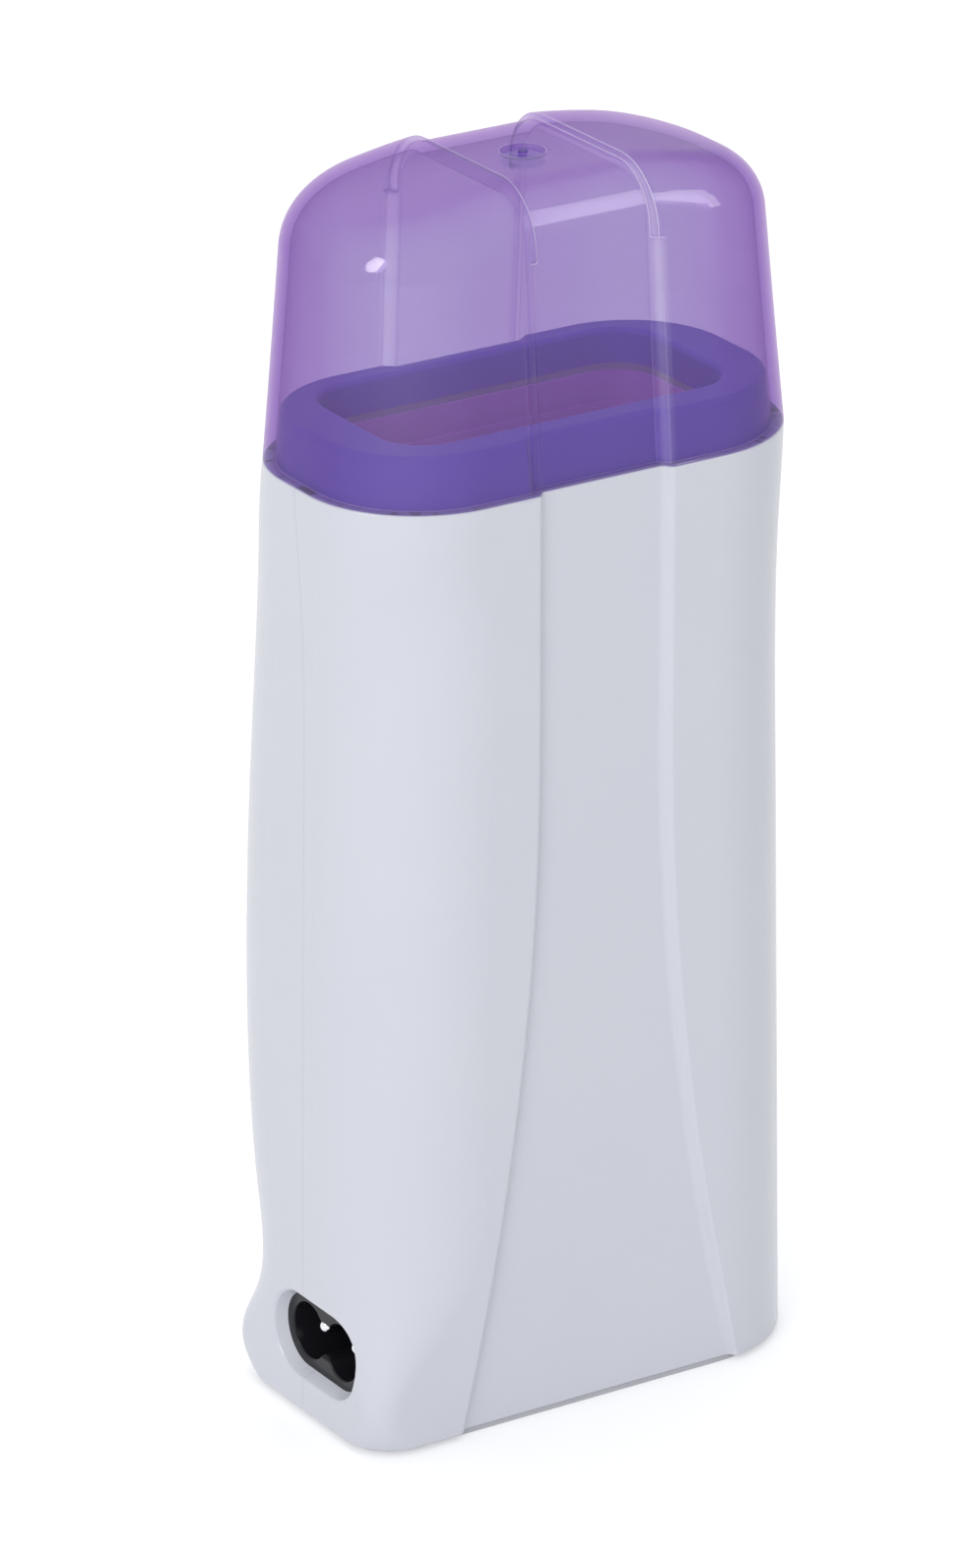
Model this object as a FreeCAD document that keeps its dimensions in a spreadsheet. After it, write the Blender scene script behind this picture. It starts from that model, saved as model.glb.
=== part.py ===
import FreeCAD, Part
import math
import os
import Sketcher

# Roll-on wax heater: a flat oval case of two moulded shells round a heated
# cartridge chamber, a mains inlet low on its left end and a clear cap that
# lifts off the neck. X runs to the right, Y to the back and Z up, in mm.
# Levels are heights above the lower edge of the shells, which the foot pad
# holds off the table, so every finished piece is placed foot_thickness up.

SIZES = {
    # case outline: what its sides and back stand out or draw in from the rim's
    "shell_height": 137.0,
    "base_flare": 1.25,
    "neck_draw": 0.9,
    "shoulder_draw": 0.7,
    "base_front_draw": 2.2,
    "base_bulge": -3.2,
    "inlet_end_bulge": -2.7,
    "waist_bulge": -0.3,
    "hip_bulge": 4.2,
    "thigh_bulge": 6.1,
    "belly_bulge": 7.0,
    "chest_bulge": 6.3,
    "neck_bulge": 4.9,
    "shoulder_bulge": 2.8,
    "end_radius": 17.4,
    "inlet_end_radius": 8.0,
    "waist_end_radius": 13.5,
    # levels of its sections: heights, then shares of the shells' height
    "inlet_end_level": 13.0,
    "waist_level": 20.0,
    "hip_level": 29.0,
    "thigh_share": 0.3066,
    "belly_share": 0.4526,
    "chest_share": 0.6204,
    "neck_share": 0.7591,
    "shoulder_drop": 15.0,
    "foot_round": 0.5,
    "rim_round": 0.3,
    # sunk panel down the middle of both faces, which flares in the lower part
    "panel_half": 9.0,
    "panel_depth": 1.3,
    "panel_slope": 1.5,
    "panel_edge": 2.1,
    "flare_share": 0.73,
    "flare_radius": 400.0,
    # shell walls
    "shell_wall": 1.8,
    "floor_thickness": 2.0,
    "rim_wall": 2.5,
    "rim_band": 6.0,
    "rim_side_gap": 1.05,
    "rim_back_gap": 0.4,
    "seat_clearance": 0.1,
    # foot pad
    "foot_thickness": 0.7,
    "foot_inset": 1.6,
    # screws that hold the shells together, from the back
    "screw_shank": 2.6,
    "screw_head": 4.8,
    "screw_head_height": 1.9,
    "screw_cross": 2.8,
    "screw_cross_width": 0.8,
    "screw_cross_depth": 1.2,
    "screw_reach": 9.0,
    "screw_seat": 7.0,
    "boss_diameter": 6.4,
    "lower_screw_side": 26.0,
    "lower_screw_level": 24.0,
    "upper_screw_drop": 17.0,
    # wax cartridge chamber
    "chamber_width": 52.0,
    "chamber_depth": 26.4,
    "chamber_radius": 6.0,
    "chamber_wall": 0.8,
    "chamber_floor": 1.5,
    "chamber_level": 30.0,
    "chamber_shift": 0.9,
    "bead_drop": 4.0,
    "bead_height": 0.6,
    "bead_depth": 0.3,
    "chamber_flange": 1.1,
    "flange_thickness": 1.2,
    "stud_diameter": 6.0,
    "stud_height": 3.0,
    "stud_gap": 2.5,
    # neck and mouth above the chamber
    "neck_height": 7.3,
    "neck_draft": 0.6,
    "neck_plate": 2.0,
    "neck_wall": 2.0,
    "neck_round": 0.8,
    "mouth_margin": 0.5,
    "lip_depth": 5.0,
    "gasket_thickness": 1.0,
    "lug_width": 4.8,
    "lug_thickness": 3.0,
    "lug_drop": 3.4,
    # cradle under the chamber
    "cradle_floor": 2.0,
    "cradle_wall": 1.4,
    "cradle_height": 4.0,
    "cradle_vent": 16.0,
    "rib_thickness": 2.0,
    "left_rib_side": -3.0,
    "right_rib_side": 20.0,
    "rib_setback": 5.0,
    # heating plate, its strap, the thermostat, the fuse and the felt
    "plate_margin": 12.8,
    "plate_drop": 34.3,
    "plate_thickness": 5.0,
    "plate_level": 48.0,
    "strap_width": 14.0,
    "strap_thickness": 1.0,
    "strap_foot": 7.0,
    "thermostat_width": 20.0,
    "thermostat_height": 7.8,
    "thermostat_thickness": 4.0,
    "thermostat_gap": 1.5,
    "fuse_diameter": 4.8,
    "fuse_length": 11.0,
    "fuse_level": 62.0,
    "fuse_gap": 4.0,
    "felt_thickness": 1.5,
    "felt_level": 38.0,
    "felt_drop": 26.3,
    "felt_setback": 6.0,
    # leads
    "lead_diameter": 1.8,
    "lead_bend": 3.0,
    "lead_inset": 3.0,
    "lead_drop": 4.0,
    "return_lead_drop": 8.0,
    "live_lead_side": 7.0,
    "sleeve_length": 6.0,
    "sleeve_diameter": 3.0,
    "sleeve_gap": 0.5,
    # mains inlet with a figure-eight recess, IEC 60320 C8
    "inlet_forward": 2.8,
    "inlet_level": 11.3,
    "pin_pitch": 8.6,
    "pin_diameter": 2.4,
    "pin_tail_diameter": 2.0,
    "pin_setback": 1.9,
    "pin_tail": 5.0,
    "inlet_lobe_radius": 4.1,
    "inlet_waist_half": 2.6,
    "inlet_recess": 11.5,
    "inlet_length": 20.0,
    "inlet_height": 10.9,
    "inlet_body_depth": 14.0,
    "inlet_flange": 1.0,
    "inlet_flange_thickness": 2.2,
    "scoop_slope": 0.8,
    "scoop_round": 0.6,
    "recess_round": 0.3,
    "housing_wall": 1.6,
    "housing_depth": 7.0,
    "receptacle_length": 6.0,
    "receptacle_diameter": 4.6,
    # cap
    "cap_wall": 1.6,
    "cap_clearance": 0.3,
    "cap_middle_rise": 15.0,
    "cap_middle_draw": 1.1,
    "crown_rise": 42.2,
    "crown_draw": 2.65,
    "crown_depth_draw": 3.2,
    "crown_radius": 97.0,
    "cap_end_radius": 17.0,
    "cap_shoulder": 9.0,
    "channel_slope": 0.6,
    "notch_rise": 31.9,
    "gate_diameter": 6.2,
    "gate_depth": 0.5,
    "gate_nub": 1.3,
}

# how far cutting bodies run past the faces they cut
OVERRUN = 3.0
# how far a rounded edge runs past the face it meets, so that the two cross
CREST = 0.03
# a distance larger than the whole heater, for cutting boxes
FAR = 200.0

doc = FreeCAD.newDocument("roll_on_wax_heater")
dims = doc.addObject("Spreadsheet::Sheet", "dims")
for row, (alias, number) in enumerate(SIZES.items(), 1):
    dims.set(f"A{row}", alias)
    dims.set(f"B{row}", str(number))
    dims.setAlias(f"B{row}", alias)
doc.recompute()


def size(alias):
    """One size from the sheet, as a number."""
    return float(dims.get(alias))


# ---------------------------------------------------------------- sketches

def origin_plane(body, role):
    """One of a body's own three origin planes."""
    return [plane for plane in body.Origin.OriginFeatures if plane.Role == role][0]


def new_body(name):
    """An empty PartDesign body."""
    return doc.addObject("PartDesign::Body", name)


def new_sketch(body, name, role="XY_Plane", level="0", x="0", y="0"):
    """An empty sketch on one of the body's planes, lifted and shifted by expressions."""
    sketch = body.newObject("Sketcher::SketchObject", name)
    sketch.AttachmentSupport = [(origin_plane(body, role), "")]
    sketch.MapMode = "FlatFace"
    for axis, expression in (("x", x), ("y", y), ("z", level)):
        sketch.setExpression(f"AttachmentOffset.Base.{axis}", expression)
    return sketch


def dimension(sketch, name, expression, rough, kind, *places):
    """A named driving dimension, drawn rough and then bound to an expression."""
    index = sketch.addConstraint(Sketcher.Constraint(kind, *places, rough))
    sketch.renameConstraint(index, name)
    sketch.setExpression(f"Constraints.{name}", expression)


def lines(sketch, points):
    """A closed loop of straight lines through rough points, joined at the corners."""
    vectors = [FreeCAD.Vector(x, y, 0) for x, y in points]
    count = len(vectors)
    for index in range(count):
        sketch.addGeometry(Part.LineSegment(vectors[index], vectors[(index + 1) % count]))
    for index in range(count):
        sketch.addConstraint(Sketcher.Constraint("Coincident", index, 2, (index + 1) % count, 1))


def outline_sketch(body, name, level, plan):
    """A rounded rectangle seen from above: half width, front, back and end radii."""
    sketch = new_sketch(body, name, level=level)
    half, front, back, corner = 37.0, -19.0, 21.0, 10.0
    turn = math.pi / 2

    def line(x0, y0, x1, y1):
        start = FreeCAD.Vector(x0, y0, 0)
        sketch.addGeometry(Part.LineSegment(start, FreeCAD.Vector(x1, y1, 0)))

    def arc(x, y, start):
        circle = Part.Circle(FreeCAD.Vector(x, y, 0), FreeCAD.Vector(0, 0, 1), corner)
        sketch.addGeometry(Part.ArcOfCircle(circle, start * turn, (start + 1) * turn))

    line(corner - half, front, half - corner, front)
    arc(half - corner, front + corner, -1)
    line(half, front + corner, half, back - corner)
    arc(half - corner, back - corner, 0)
    line(half - corner, back, corner - half, back)
    arc(corner - half, back - corner, 1)
    line(-half, back - corner, -half, front + corner)
    arc(corner - half, front + corner, 2)
    for index in range(8):
        following = (index + 1) % 8
        sketch.addConstraint(Sketcher.Constraint("Tangent", index, 2, following, 1))
    for index in (0, 4):
        sketch.addConstraint(Sketcher.Constraint("Horizontal", index))
    for index in (2, 6):
        sketch.addConstraint(Sketcher.Constraint("Vertical", index))
    sketch.addConstraint(Sketcher.Constraint("Equal", 1, 3))
    sketch.addConstraint(Sketcher.Constraint("Equal", 5, 7))
    dimension(sketch, "right_half", plan["half"], half, "DistanceX", -1, 1, 2, 1)
    dimension(sketch, "left_half", plan["half"], half, "DistanceX", 6, 2, -1, 1)
    dimension(sketch, "front", plan["front"], -front, "DistanceY", 0, 1, -1, 1)
    dimension(sketch, "back", plan["back"], back, "DistanceY", -1, 1, 4, 1)
    dimension(sketch, "right_radius", plan["right_radius"], corner, "Radius", 1)
    dimension(sketch, "left_radius", plan["left_radius"], corner, "Radius", 5)
    return sketch


def outward(sketch, name, expression, rough, side, inner, outer):
    """A dimension along Y from an inner vertex to one further from the split plane."""
    first, second = (outer, inner) if side < 0 else (inner, outer)
    dimension(sketch, name, expression, rough, "DistanceY", *first, *second)


def panel_sketch(body, name, level, floor_half, floor, side, slope="dims.panel_slope"):
    """The sunk panel's section at one level: a tray with straight sides that opens outwards."""
    sketch = new_sketch(body, name, level=level)
    half, near, far = 9.0, side * 18.0, side * 22.0
    lines(sketch, [(-half, near), (half, near), (1.5 * half, far), (-1.5 * half, far)])
    for index in (0, 2):
        sketch.addConstraint(Sketcher.Constraint("Symmetric", index, 1, index, 2, -2))
    rise = f"(dims.panel_depth + {OVERRUN})"
    dimension(sketch, "floor_width", f"2 * ({floor_half})", 2 * half, "DistanceX", 0, 1, 0, 2)
    mouth_half = f"({floor_half}) + {rise} * {slope} / dims.panel_depth"
    dimension(sketch, "mouth_width", f"2 * ({mouth_half})", 3 * half, "DistanceX", 2, 2, 2, 1)
    outward(sketch, "floor", floor, abs(near), side, (-1, 1), (0, 1))
    outward(sketch, "rise", rise, abs(far - near), side, (0, 1), (2, 1))
    return sketch


def arc_between(sketch, centre, first, last):
    """An arc of under half a turn; the vertex numbers of its first and last ends."""
    start = math.atan2(first.y - centre.y, first.x - centre.x)
    end = math.atan2(last.y - centre.y, last.x - centre.x)
    forwards = (first - centre).cross(last - centre).z > 0
    if not forwards:
        start, end = end, start
    if end < start:
        end += 2 * math.pi
    circle = Part.Circle(centre, FreeCAD.Vector(0, 0, 1), (first - centre).Length)
    sketch.addGeometry(Part.ArcOfCircle(circle, start, end))
    return (1, 2) if forwards else (2, 1)


def soft_panel_sketch(body, name, level, floor_half, floor, side):
    """The sunk panel's section with sides that curve in and out in an S."""
    sketch = new_sketch(body, name, level=level)
    half, near, bend, turn, top = 9.0, 18.0, 1.16, 1.13, 22.0

    def place(hand, across, outwards):
        return FreeCAD.Vector(hand * (half + across), side * (near + outwards), 0)

    def line(first, last):
        sketch.addGeometry(Part.LineSegment(first, last))
        return (1, 2)

    def side_places(hand):
        middle = place(hand, bend * math.sin(turn), bend * (1 - math.cos(turn)))
        crest = place(hand, 2 * bend * math.sin(turn), 2 * bend * (1 - math.cos(turn)))
        top_end = FreeCAD.Vector(crest.x, side * top, 0)
        low_centre = place(hand, 0, bend)
        return place(hand, 0, 0), low_centre, middle, crest, top_end

    foot, low, middle, crest, top_end = side_places(1)
    left_foot, left_low, left_middle, left_crest, left_top = side_places(-1)
    inwards = FreeCAD.Vector(0, -side * bend, 0)
    ends = [line(left_foot, foot)]
    ends.append(arc_between(sketch, low, foot, middle))
    ends.append(arc_between(sketch, crest + inwards, middle, crest))
    ends.append(line(crest, top_end))
    ends.append(line(top_end, left_top))
    ends.append(line(left_top, left_crest))
    ends.append(arc_between(sketch, left_crest + inwards, left_crest, left_middle))
    ends.append(arc_between(sketch, left_low, left_middle, left_foot))
    for index in range(8):
        following = (index + 1) % 8
        kind = "Tangent" if index in (0, 1, 6, 7) else "Coincident"
        sketch.addConstraint(Sketcher.Constraint(kind, index, ends[index][1], following,
                                                 ends[following][0]))
    for index in (3, 5):
        sketch.addConstraint(Sketcher.Constraint("Vertical", index))
    sketch.addConstraint(Sketcher.Constraint("Horizontal", 4))
    crest_end, left_crest_end = ends[2][1], ends[6][0]
    sketch.addConstraint(Sketcher.Constraint("Vertical", 2, 3, 2, crest_end))
    sketch.addConstraint(Sketcher.Constraint("Vertical", 6, 3, 6, left_crest_end))
    sketch.addConstraint(Sketcher.Constraint("Horizontal", 2, crest_end, 6, left_crest_end))
    sketch.addConstraint(Sketcher.Constraint("Equal", 1, 2))
    sketch.addConstraint(Sketcher.Constraint("Equal", 6, 7))
    sketch.addConstraint(Sketcher.Constraint("Symmetric", 0, 1, 0, 2, -2))
    depth = f"(dims.panel_depth + {CREST})"
    edges = (("right", 0, 2, 2, crest_end), ("left", 6, left_crest_end, 0, 1))
    for word, *places in edges:
        dimension(sketch, f"{word}_edge", "dims.panel_edge", crest.x - half, "DistanceX", *places)
    dimension(sketch, "floor_width", f"2 * ({floor_half})", 2 * half, "DistanceX", 0, 1, 0, 2)
    outward(sketch, "floor", floor, near, side, (-1, 1), (0, 1))
    outward(sketch, "edge_depth", depth, abs(crest.y) - near, side, (0, 1), (2, crest_end))
    outward(sketch, "rise", f"{depth} + {OVERRUN}", top - near, side, (0, 1), (4, 1))
    return sketch


def stadium_sketch(body, name, role, level, x, y, length, height):
    """A slot with round ends, lying along the sketch's first axis round one point."""
    sketch = new_sketch(body, name, role, level, x, y)
    turn = math.pi
    normal = FreeCAD.Vector(0, 0, 1)
    sketch.addGeometry(Part.LineSegment(FreeCAD.Vector(-4, -5, 0), FreeCAD.Vector(4, -5, 0)))
    right = Part.Circle(FreeCAD.Vector(4, 0, 0), normal, 5)
    sketch.addGeometry(Part.ArcOfCircle(right, -turn / 2, turn / 2))
    sketch.addGeometry(Part.LineSegment(FreeCAD.Vector(4, 5, 0), FreeCAD.Vector(-4, 5, 0)))
    left = Part.Circle(FreeCAD.Vector(-4, 0, 0), normal, 5)
    sketch.addGeometry(Part.ArcOfCircle(left, turn / 2, 3 * turn / 2))
    for index in range(4):
        sketch.addConstraint(Sketcher.Constraint("Tangent", index, 2, (index + 1) % 4, 1))
    sketch.addConstraint(Sketcher.Constraint("Horizontal", 0))
    sketch.addConstraint(Sketcher.Constraint("Equal", 1, 3))
    sketch.addConstraint(Sketcher.Constraint("Symmetric", 1, 3, 3, 3, -1, 1))
    dimension(sketch, "radius", f"({height}) / 2", 5.0, "Radius", 1)
    dimension(sketch, "straight", f"({length}) - ({height})", 8.0, "DistanceX", 0, 1, 0, 2)
    return sketch


def circle_sketch(body, name, role, level, x, y, diameters):
    """Circles round one point, one for each diameter."""
    sketch = new_sketch(body, name, role, level, x, y)
    for index, diameter in enumerate(diameters):
        rough = 6.0 - 2.0 * index
        sketch.addGeometry(Part.Circle(FreeCAD.Vector(), FreeCAD.Vector(0, 0, 1), rough))
        sketch.addConstraint(Sketcher.Constraint("Coincident", index, 3, -1, 1))
        dimension(sketch, f"diameter_{index}", diameter, 2 * rough, "Diameter", index)
    return sketch


def polygon_sketch(body, name, role, level, corners):
    """Straight lines through corners that are each placed by two expressions."""
    sketch = new_sketch(body, name, role, level)
    turn = 2 * math.pi / len(corners)
    rough = [(20 * math.cos(turn * index), 20 * math.sin(turn * index))
             for index in range(len(corners))]
    lines(sketch, rough)
    for index, (across, along) in enumerate(corners):
        x, y = rough[index]
        dimension(sketch, f"across_{index}", across, x, "DistanceX", -1, 1, index, 1)
        dimension(sketch, f"along_{index}", along, y, "DistanceY", -1, 1, index, 1)
    return sketch


def pad(body, name, sketch, length, backwards=False):
    """Material raised from a sketch along its normal."""
    feature = body.newObject("PartDesign::Pad", name)
    feature.Profile = sketch
    feature.Reversed = backwards
    feature.setExpression("Length", f"{length}")
    return feature


def pocket(body, name, sketch, length, upwards=False):
    """Material removed from a sketch, downwards unless told otherwise."""
    feature = body.newObject("PartDesign::Pocket", name)
    feature.Profile = sketch
    feature.Reversed = upwards
    feature.setExpression("Length", f"{length}")
    return feature


def round_edges(body, name, radius, chosen):
    """A fillet on the body's edges that a test chooses."""
    doc.recompute()
    base = body.Tip
    edges = [f"Edge{index}" for index, edge in enumerate(base.Shape.Edges, 1) if chosen(edge)]
    feature = body.newObject("PartDesign::Fillet", name)
    feature.Base = (base, edges)
    feature.setExpression("Radius", radius)
    return feature


def at_level(level):
    """A test for edges that lie at one level."""
    def chosen(edge):
        return abs(edge.BoundBox.ZMin - level) + abs(edge.BoundBox.ZMax - level) < CREST
    return chosen


def loft(body, name, kind, sketches):
    """A smooth loft through sketches, added or taken away."""
    feature = body.newObject(f"PartDesign::{kind}Loft", name)
    feature.Profile = sketches[0]
    feature.Sections = sketches[1:]
    return feature


# ------------------------------------------------------ plain solids, joins

def box(name, x, y, z):
    """A block between pairs of expressions along each axis."""
    block = doc.addObject("Part::Box", name)
    for length, axis, (low, high) in (("Length", "x", x), ("Width", "y", y), ("Height", "z", z)):
        block.setExpression(length, f"({high}) - ({low})")
        block.setExpression(f"Placement.Base.{axis}", f"{low}")
    return block


def rod(name, axis, across, along, start, length, diameter):
    """A round bar along one axis, from start on; across and along place its centre line."""
    bar = doc.addObject("Part::Cylinder", name)
    turns = {
        "x": FreeCAD.Rotation(FreeCAD.Vector(0, 1, 0), 90),
        "y": FreeCAD.Rotation(FreeCAD.Vector(1, 0, 0), -90),
        "z": FreeCAD.Rotation(),
    }
    bar.Placement = FreeCAD.Placement(FreeCAD.Vector(), turns[axis])
    others = [letter for letter in "xyz" if letter != axis]
    bar.setExpression("Radius", f"({diameter}) / 2")
    bar.setExpression("Height", f"{length}")
    for letter, place in ((axis, start), (others[0], across), (others[1], along)):
        bar.setExpression(f"Placement.Base.{letter}", f"{place}")
    return bar


def fuse(name, solids):
    """Several solids made one."""
    joined = doc.addObject("Part::MultiFuse", name)
    joined.Shapes = solids
    return joined


def common(name, solids):
    """What several solids share."""
    shared = doc.addObject("Part::MultiCommon", name)
    shared.Shapes = solids
    return shared


def cut(name, base, tool):
    """A solid less another."""
    rest = doc.addObject("Part::Cut", name)
    rest.Base = base
    rest.Tool = tool
    return rest


def group(name, solids):
    """Like pieces that stay separate solids of one node."""
    pieces = doc.addObject("Part::Compound", name)
    pieces.Links = solids
    return pieces


# ------------------------------------------------- places shared by pieces

RIM = "dims.shell_height"
CHAMBER_HALF = "(dims.chamber_width / 2 + dims.chamber_wall)"
CHAMBER_OUTER_DEPTH = "(dims.chamber_depth + 2 * dims.chamber_wall)"
CHAMBER_BACK = f"(dims.chamber_shift + {CHAMBER_OUTER_DEPTH} / 2)"
FLANGE_HALF = f"({CHAMBER_HALF} + dims.chamber_flange)"
UPPER_SCREW_SIDE = f"({FLANGE_HALF} + dims.seat_clearance + dims.lug_width / 2)"
RIM_HALF = (f"({UPPER_SCREW_SIDE} + dims.lug_width / 2 + dims.rim_side_gap"
            " + dims.seat_clearance + dims.rim_wall)")
RIM_DEPTH = (f"({CHAMBER_BACK} + dims.chamber_flange + dims.rim_back_gap + dims.neck_wall"
             " + dims.seat_clearance + dims.rim_wall)")
NECK_TOP = f"({RIM} + dims.neck_height)"
NECK_CEILING = f"({NECK_TOP} - dims.neck_plate)"
LIP_LEVEL = f"({NECK_TOP} - dims.lip_depth)"
CHAMBER_TOP = f"({LIP_LEVEL} - dims.gasket_thickness)"
MOUTH_GROWTH = "dims.mouth_margin - dims.chamber_wall"
SPIGOT_DEPTH = "(dims.rim_band - dims.seat_clearance)"
CRADLE_LEVEL = "(dims.chamber_level - dims.cradle_floor)"
LEAD_PLANE = f"({CHAMBER_BACK} + dims.seat_clearance + dims.fuse_diameter / 2)"
UPPER_SCREW_LEVEL = f"({RIM} - dims.upper_screw_drop)"
SCREW_BORE = "dims.screw_shank + dims.seat_clearance"
SCREW_PLACES = {
    "lower_left": ("-dims.lower_screw_side", "dims.lower_screw_level"),
    "lower_right": ("dims.lower_screw_side", "dims.lower_screw_level"),
    "upper_left": (f"-{UPPER_SCREW_SIDE}", UPPER_SCREW_LEVEL),
    "upper_right": (UPPER_SCREW_SIDE, UPPER_SCREW_LEVEL),
}


# ------------------------------------------------------------- case outline

SPECIAL_RADIUS = {
    "base": "dims.inlet_end_radius",
    "inlet_end": "dims.inlet_end_radius",
    "waist": "dims.waist_end_radius",
}
SPECIAL_BACK = {"rim": RIM_DEPTH}
SPECIAL_HALF = {"shoulder": f"({RIM_HALF} - dims.shoulder_draw)", "rim": RIM_HALF}
LEVELS = {
    "base": "0",
    "inlet_end": "dims.inlet_end_level",
    "waist": "dims.waist_level",
    "hip": "dims.hip_level",
    "thigh": f"(dims.thigh_share * {RIM})",
    "belly": f"(dims.belly_share * {RIM})",
    "chest": f"(dims.chest_share * {RIM})",
    "neck": f"(dims.neck_share * {RIM})",
    "shoulder": f"({RIM} - dims.shoulder_drop)",
    "rim": RIM,
}


def front_depth(level):
    """Distance of the leaning front face from the split plane."""
    return f"({RIM_DEPTH} - dims.base_front_draw * (1 - ({level}) / {RIM}))"


def half_width(level):
    """Half the case's width below the neck, which narrows evenly upwards."""
    narrowing = "(dims.base_flare + dims.neck_draw)"
    return f"({RIM_HALF} + dims.base_flare - {narrowing} * ({level}) / {LEVELS['neck']})"


def case_plan(station, inset):
    """The case's outline at one station, drawn in by an inset."""
    level = LEVELS[station]
    half = SPECIAL_HALF.get(station, half_width(level))
    back = SPECIAL_BACK.get(station, f"({RIM_DEPTH} + dims.{station}_bulge)")
    left_radius = SPECIAL_RADIUS.get(station, "dims.end_radius")
    return {
        "half": f"{half} - ({inset})",
        "front": f"{front_depth(level)} - ({inset})",
        "back": f"{back} - ({inset})",
        "left_radius": f"{left_radius} - ({inset})",
        "right_radius": f"dims.end_radius - ({inset})",
    }


def panel_floor_half(level, inset):
    """Half the sunk panel's floor: parallel in the upper part, an arc in the lower."""
    slant = "sqrt(dims.panel_depth ^ 2 + dims.panel_slope ^ 2)"
    corner = f"({inset}) * ({slant} - dims.panel_slope) / dims.panel_depth"
    drop = f"max(0; dims.flare_share * {RIM} - ({level}))"
    return f"dims.panel_half + {drop} ^ 2 / (2 * dims.flare_radius) + {corner}"


def case_form(name, inset, tray_sketch):
    """The whole case as one solid, with its sunk panels, drawn in by an inset."""
    body = new_body(name)
    outlines = []
    trays = {-1: [], 1: []}
    for station, level in LEVELS.items():
        plan = case_plan(station, inset)
        outlines.append(outline_sketch(body, f"{name}_{station}", level, plan))
        floor_half = panel_floor_half(level, inset)
        for side, depth, word in ((-1, plan["front"], "front"), (1, plan["back"], "back")):
            floor = f"{depth} - dims.panel_depth"
            tray = tray_sketch(body, f"{name}_{station}_{word}", level, floor_half, floor, side)
            trays[side].append(tray)
    loft(body, f"{name}_loft", "Additive", outlines)
    loft(body, f"{name}_front_panel", "Subtractive", trays[-1])
    loft(body, f"{name}_back_panel", "Subtractive", trays[1])
    return body


case_outer = case_form("case_outer", "0", soft_panel_sketch)
round_edges(case_outer, "case_foot_round", "dims.foot_round", at_level(0))
round_edges(case_outer, "case_rim_round", "dims.rim_round", at_level(size("shell_height")))
case_middle = case_form("case_middle", "dims.shell_wall / 2", panel_sketch)
case_inner = case_form("case_inner", "dims.shell_wall", panel_sketch)


def rounded_plan(half, depth, radius, shift="0"):
    """A rounded rectangle whose middle lies shift behind the split plane."""
    return {
        "half": half,
        "front": f"({depth}) / 2 - ({shift})",
        "back": f"({depth}) / 2 + ({shift})",
        "left_radius": radius,
        "right_radius": radius,
    }


def slab(name, low, high):
    """Everything between two levels."""
    return box(name, (-FAR, FAR), (-FAR, FAR), (low, high))


def chamber_plan(growth):
    """The chamber's outline, grown by an expression."""
    return rounded_plan(
        f"{CHAMBER_HALF} + ({growth})",
        f"{CHAMBER_OUTER_DEPTH} + 2 * ({growth})",
        f"dims.chamber_radius + dims.chamber_wall + ({growth})",
        "dims.chamber_shift",
    )


# ------------------------------------------------------------- mains inlet

INLET_TOP = "(dims.inlet_level + dims.inlet_height / 2 + dims.inlet_flange)"
INLET_FACE = f"(dims.shell_wall - {half_width(INLET_TOP)})"
INLET_BACK = f"({INLET_FACE} + dims.inlet_body_depth)"


def inlet_form(name, growth, body_depth):
    """The inlet's flange and barrel, or the seat that holds them."""
    body = new_body(name)
    sections = (
        ("flange", "2 * dims.inlet_flange", "dims.inlet_flange_thickness"),
        ("barrel", "0", body_depth),
    )
    for word, wider, depth in sections:
        length = f"dims.inlet_length + {wider} + 2 * ({growth})"
        height = f"dims.inlet_height + {wider} + 2 * ({growth})"
        sketch = stadium_sketch(
            body, f"{name}_{word}_outline", "YZ_Plane", INLET_FACE,
            "-dims.inlet_forward", "dims.inlet_level", length, height,
        )
        pad(body, f"{name}_{word}", sketch, depth)
    return body


def inlet_socket_body():
    """The figure-eight socket, open towards the left end."""
    body = inlet_form("socket_block", "0", "dims.inlet_body_depth")
    for side in (-1, 1):
        name = "front_lobe" if side < 0 else "back_lobe"
        middle = f"-dims.inlet_forward + {side} * dims.pin_pitch / 2"
        lobe = circle_sketch(
            body, f"{name}_outline", "YZ_Plane", INLET_FACE, middle, "dims.inlet_level",
            ["2 * dims.inlet_lobe_radius"],
        )
        pocket(body, name, lobe, "dims.inlet_recess", upwards=True)
    corners = []
    for side, end in ((-1, -1), (1, -1), (1, 1), (-1, 1)):
        across = f"-dims.inlet_forward + {side} * dims.pin_pitch / 2"
        corners.append((across, f"dims.inlet_level + {end} * dims.inlet_waist_half"))
    waist = polygon_sketch(body, "waist_outline", "YZ_Plane", INLET_FACE, corners)
    pocket(body, "waist", waist, "dims.inlet_recess", upwards=True)
    reach = (size("pin_pitch") + size("inlet_length")) / 4 + size("inlet_lobe_radius") / 2

    def on_recess_mouth(edge):
        bounds = edge.BoundBox
        middle = -size("inlet_forward")
        across = max(middle - bounds.YMin, bounds.YMax - middle)
        return bounds.XMax < waist.Placement.Base.x + CREST and across < reach

    round_edges(body, "recess_mouth", "dims.recess_round", on_recess_mouth)
    return body


def pin_rods(name, start, end, diameter):
    """A round bar on each pin's axis."""
    bars = []
    for side in (-1, 1):
        across = f"-dims.inlet_forward + {side} * dims.pin_pitch / 2"
        word = "front" if side < 0 else "back"
        bar = rod(f"{name}_{word}", "x", across, "dims.inlet_level", start,
                  f"({end}) - ({start})", diameter)
        bars.append(bar)
    return bars


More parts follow.
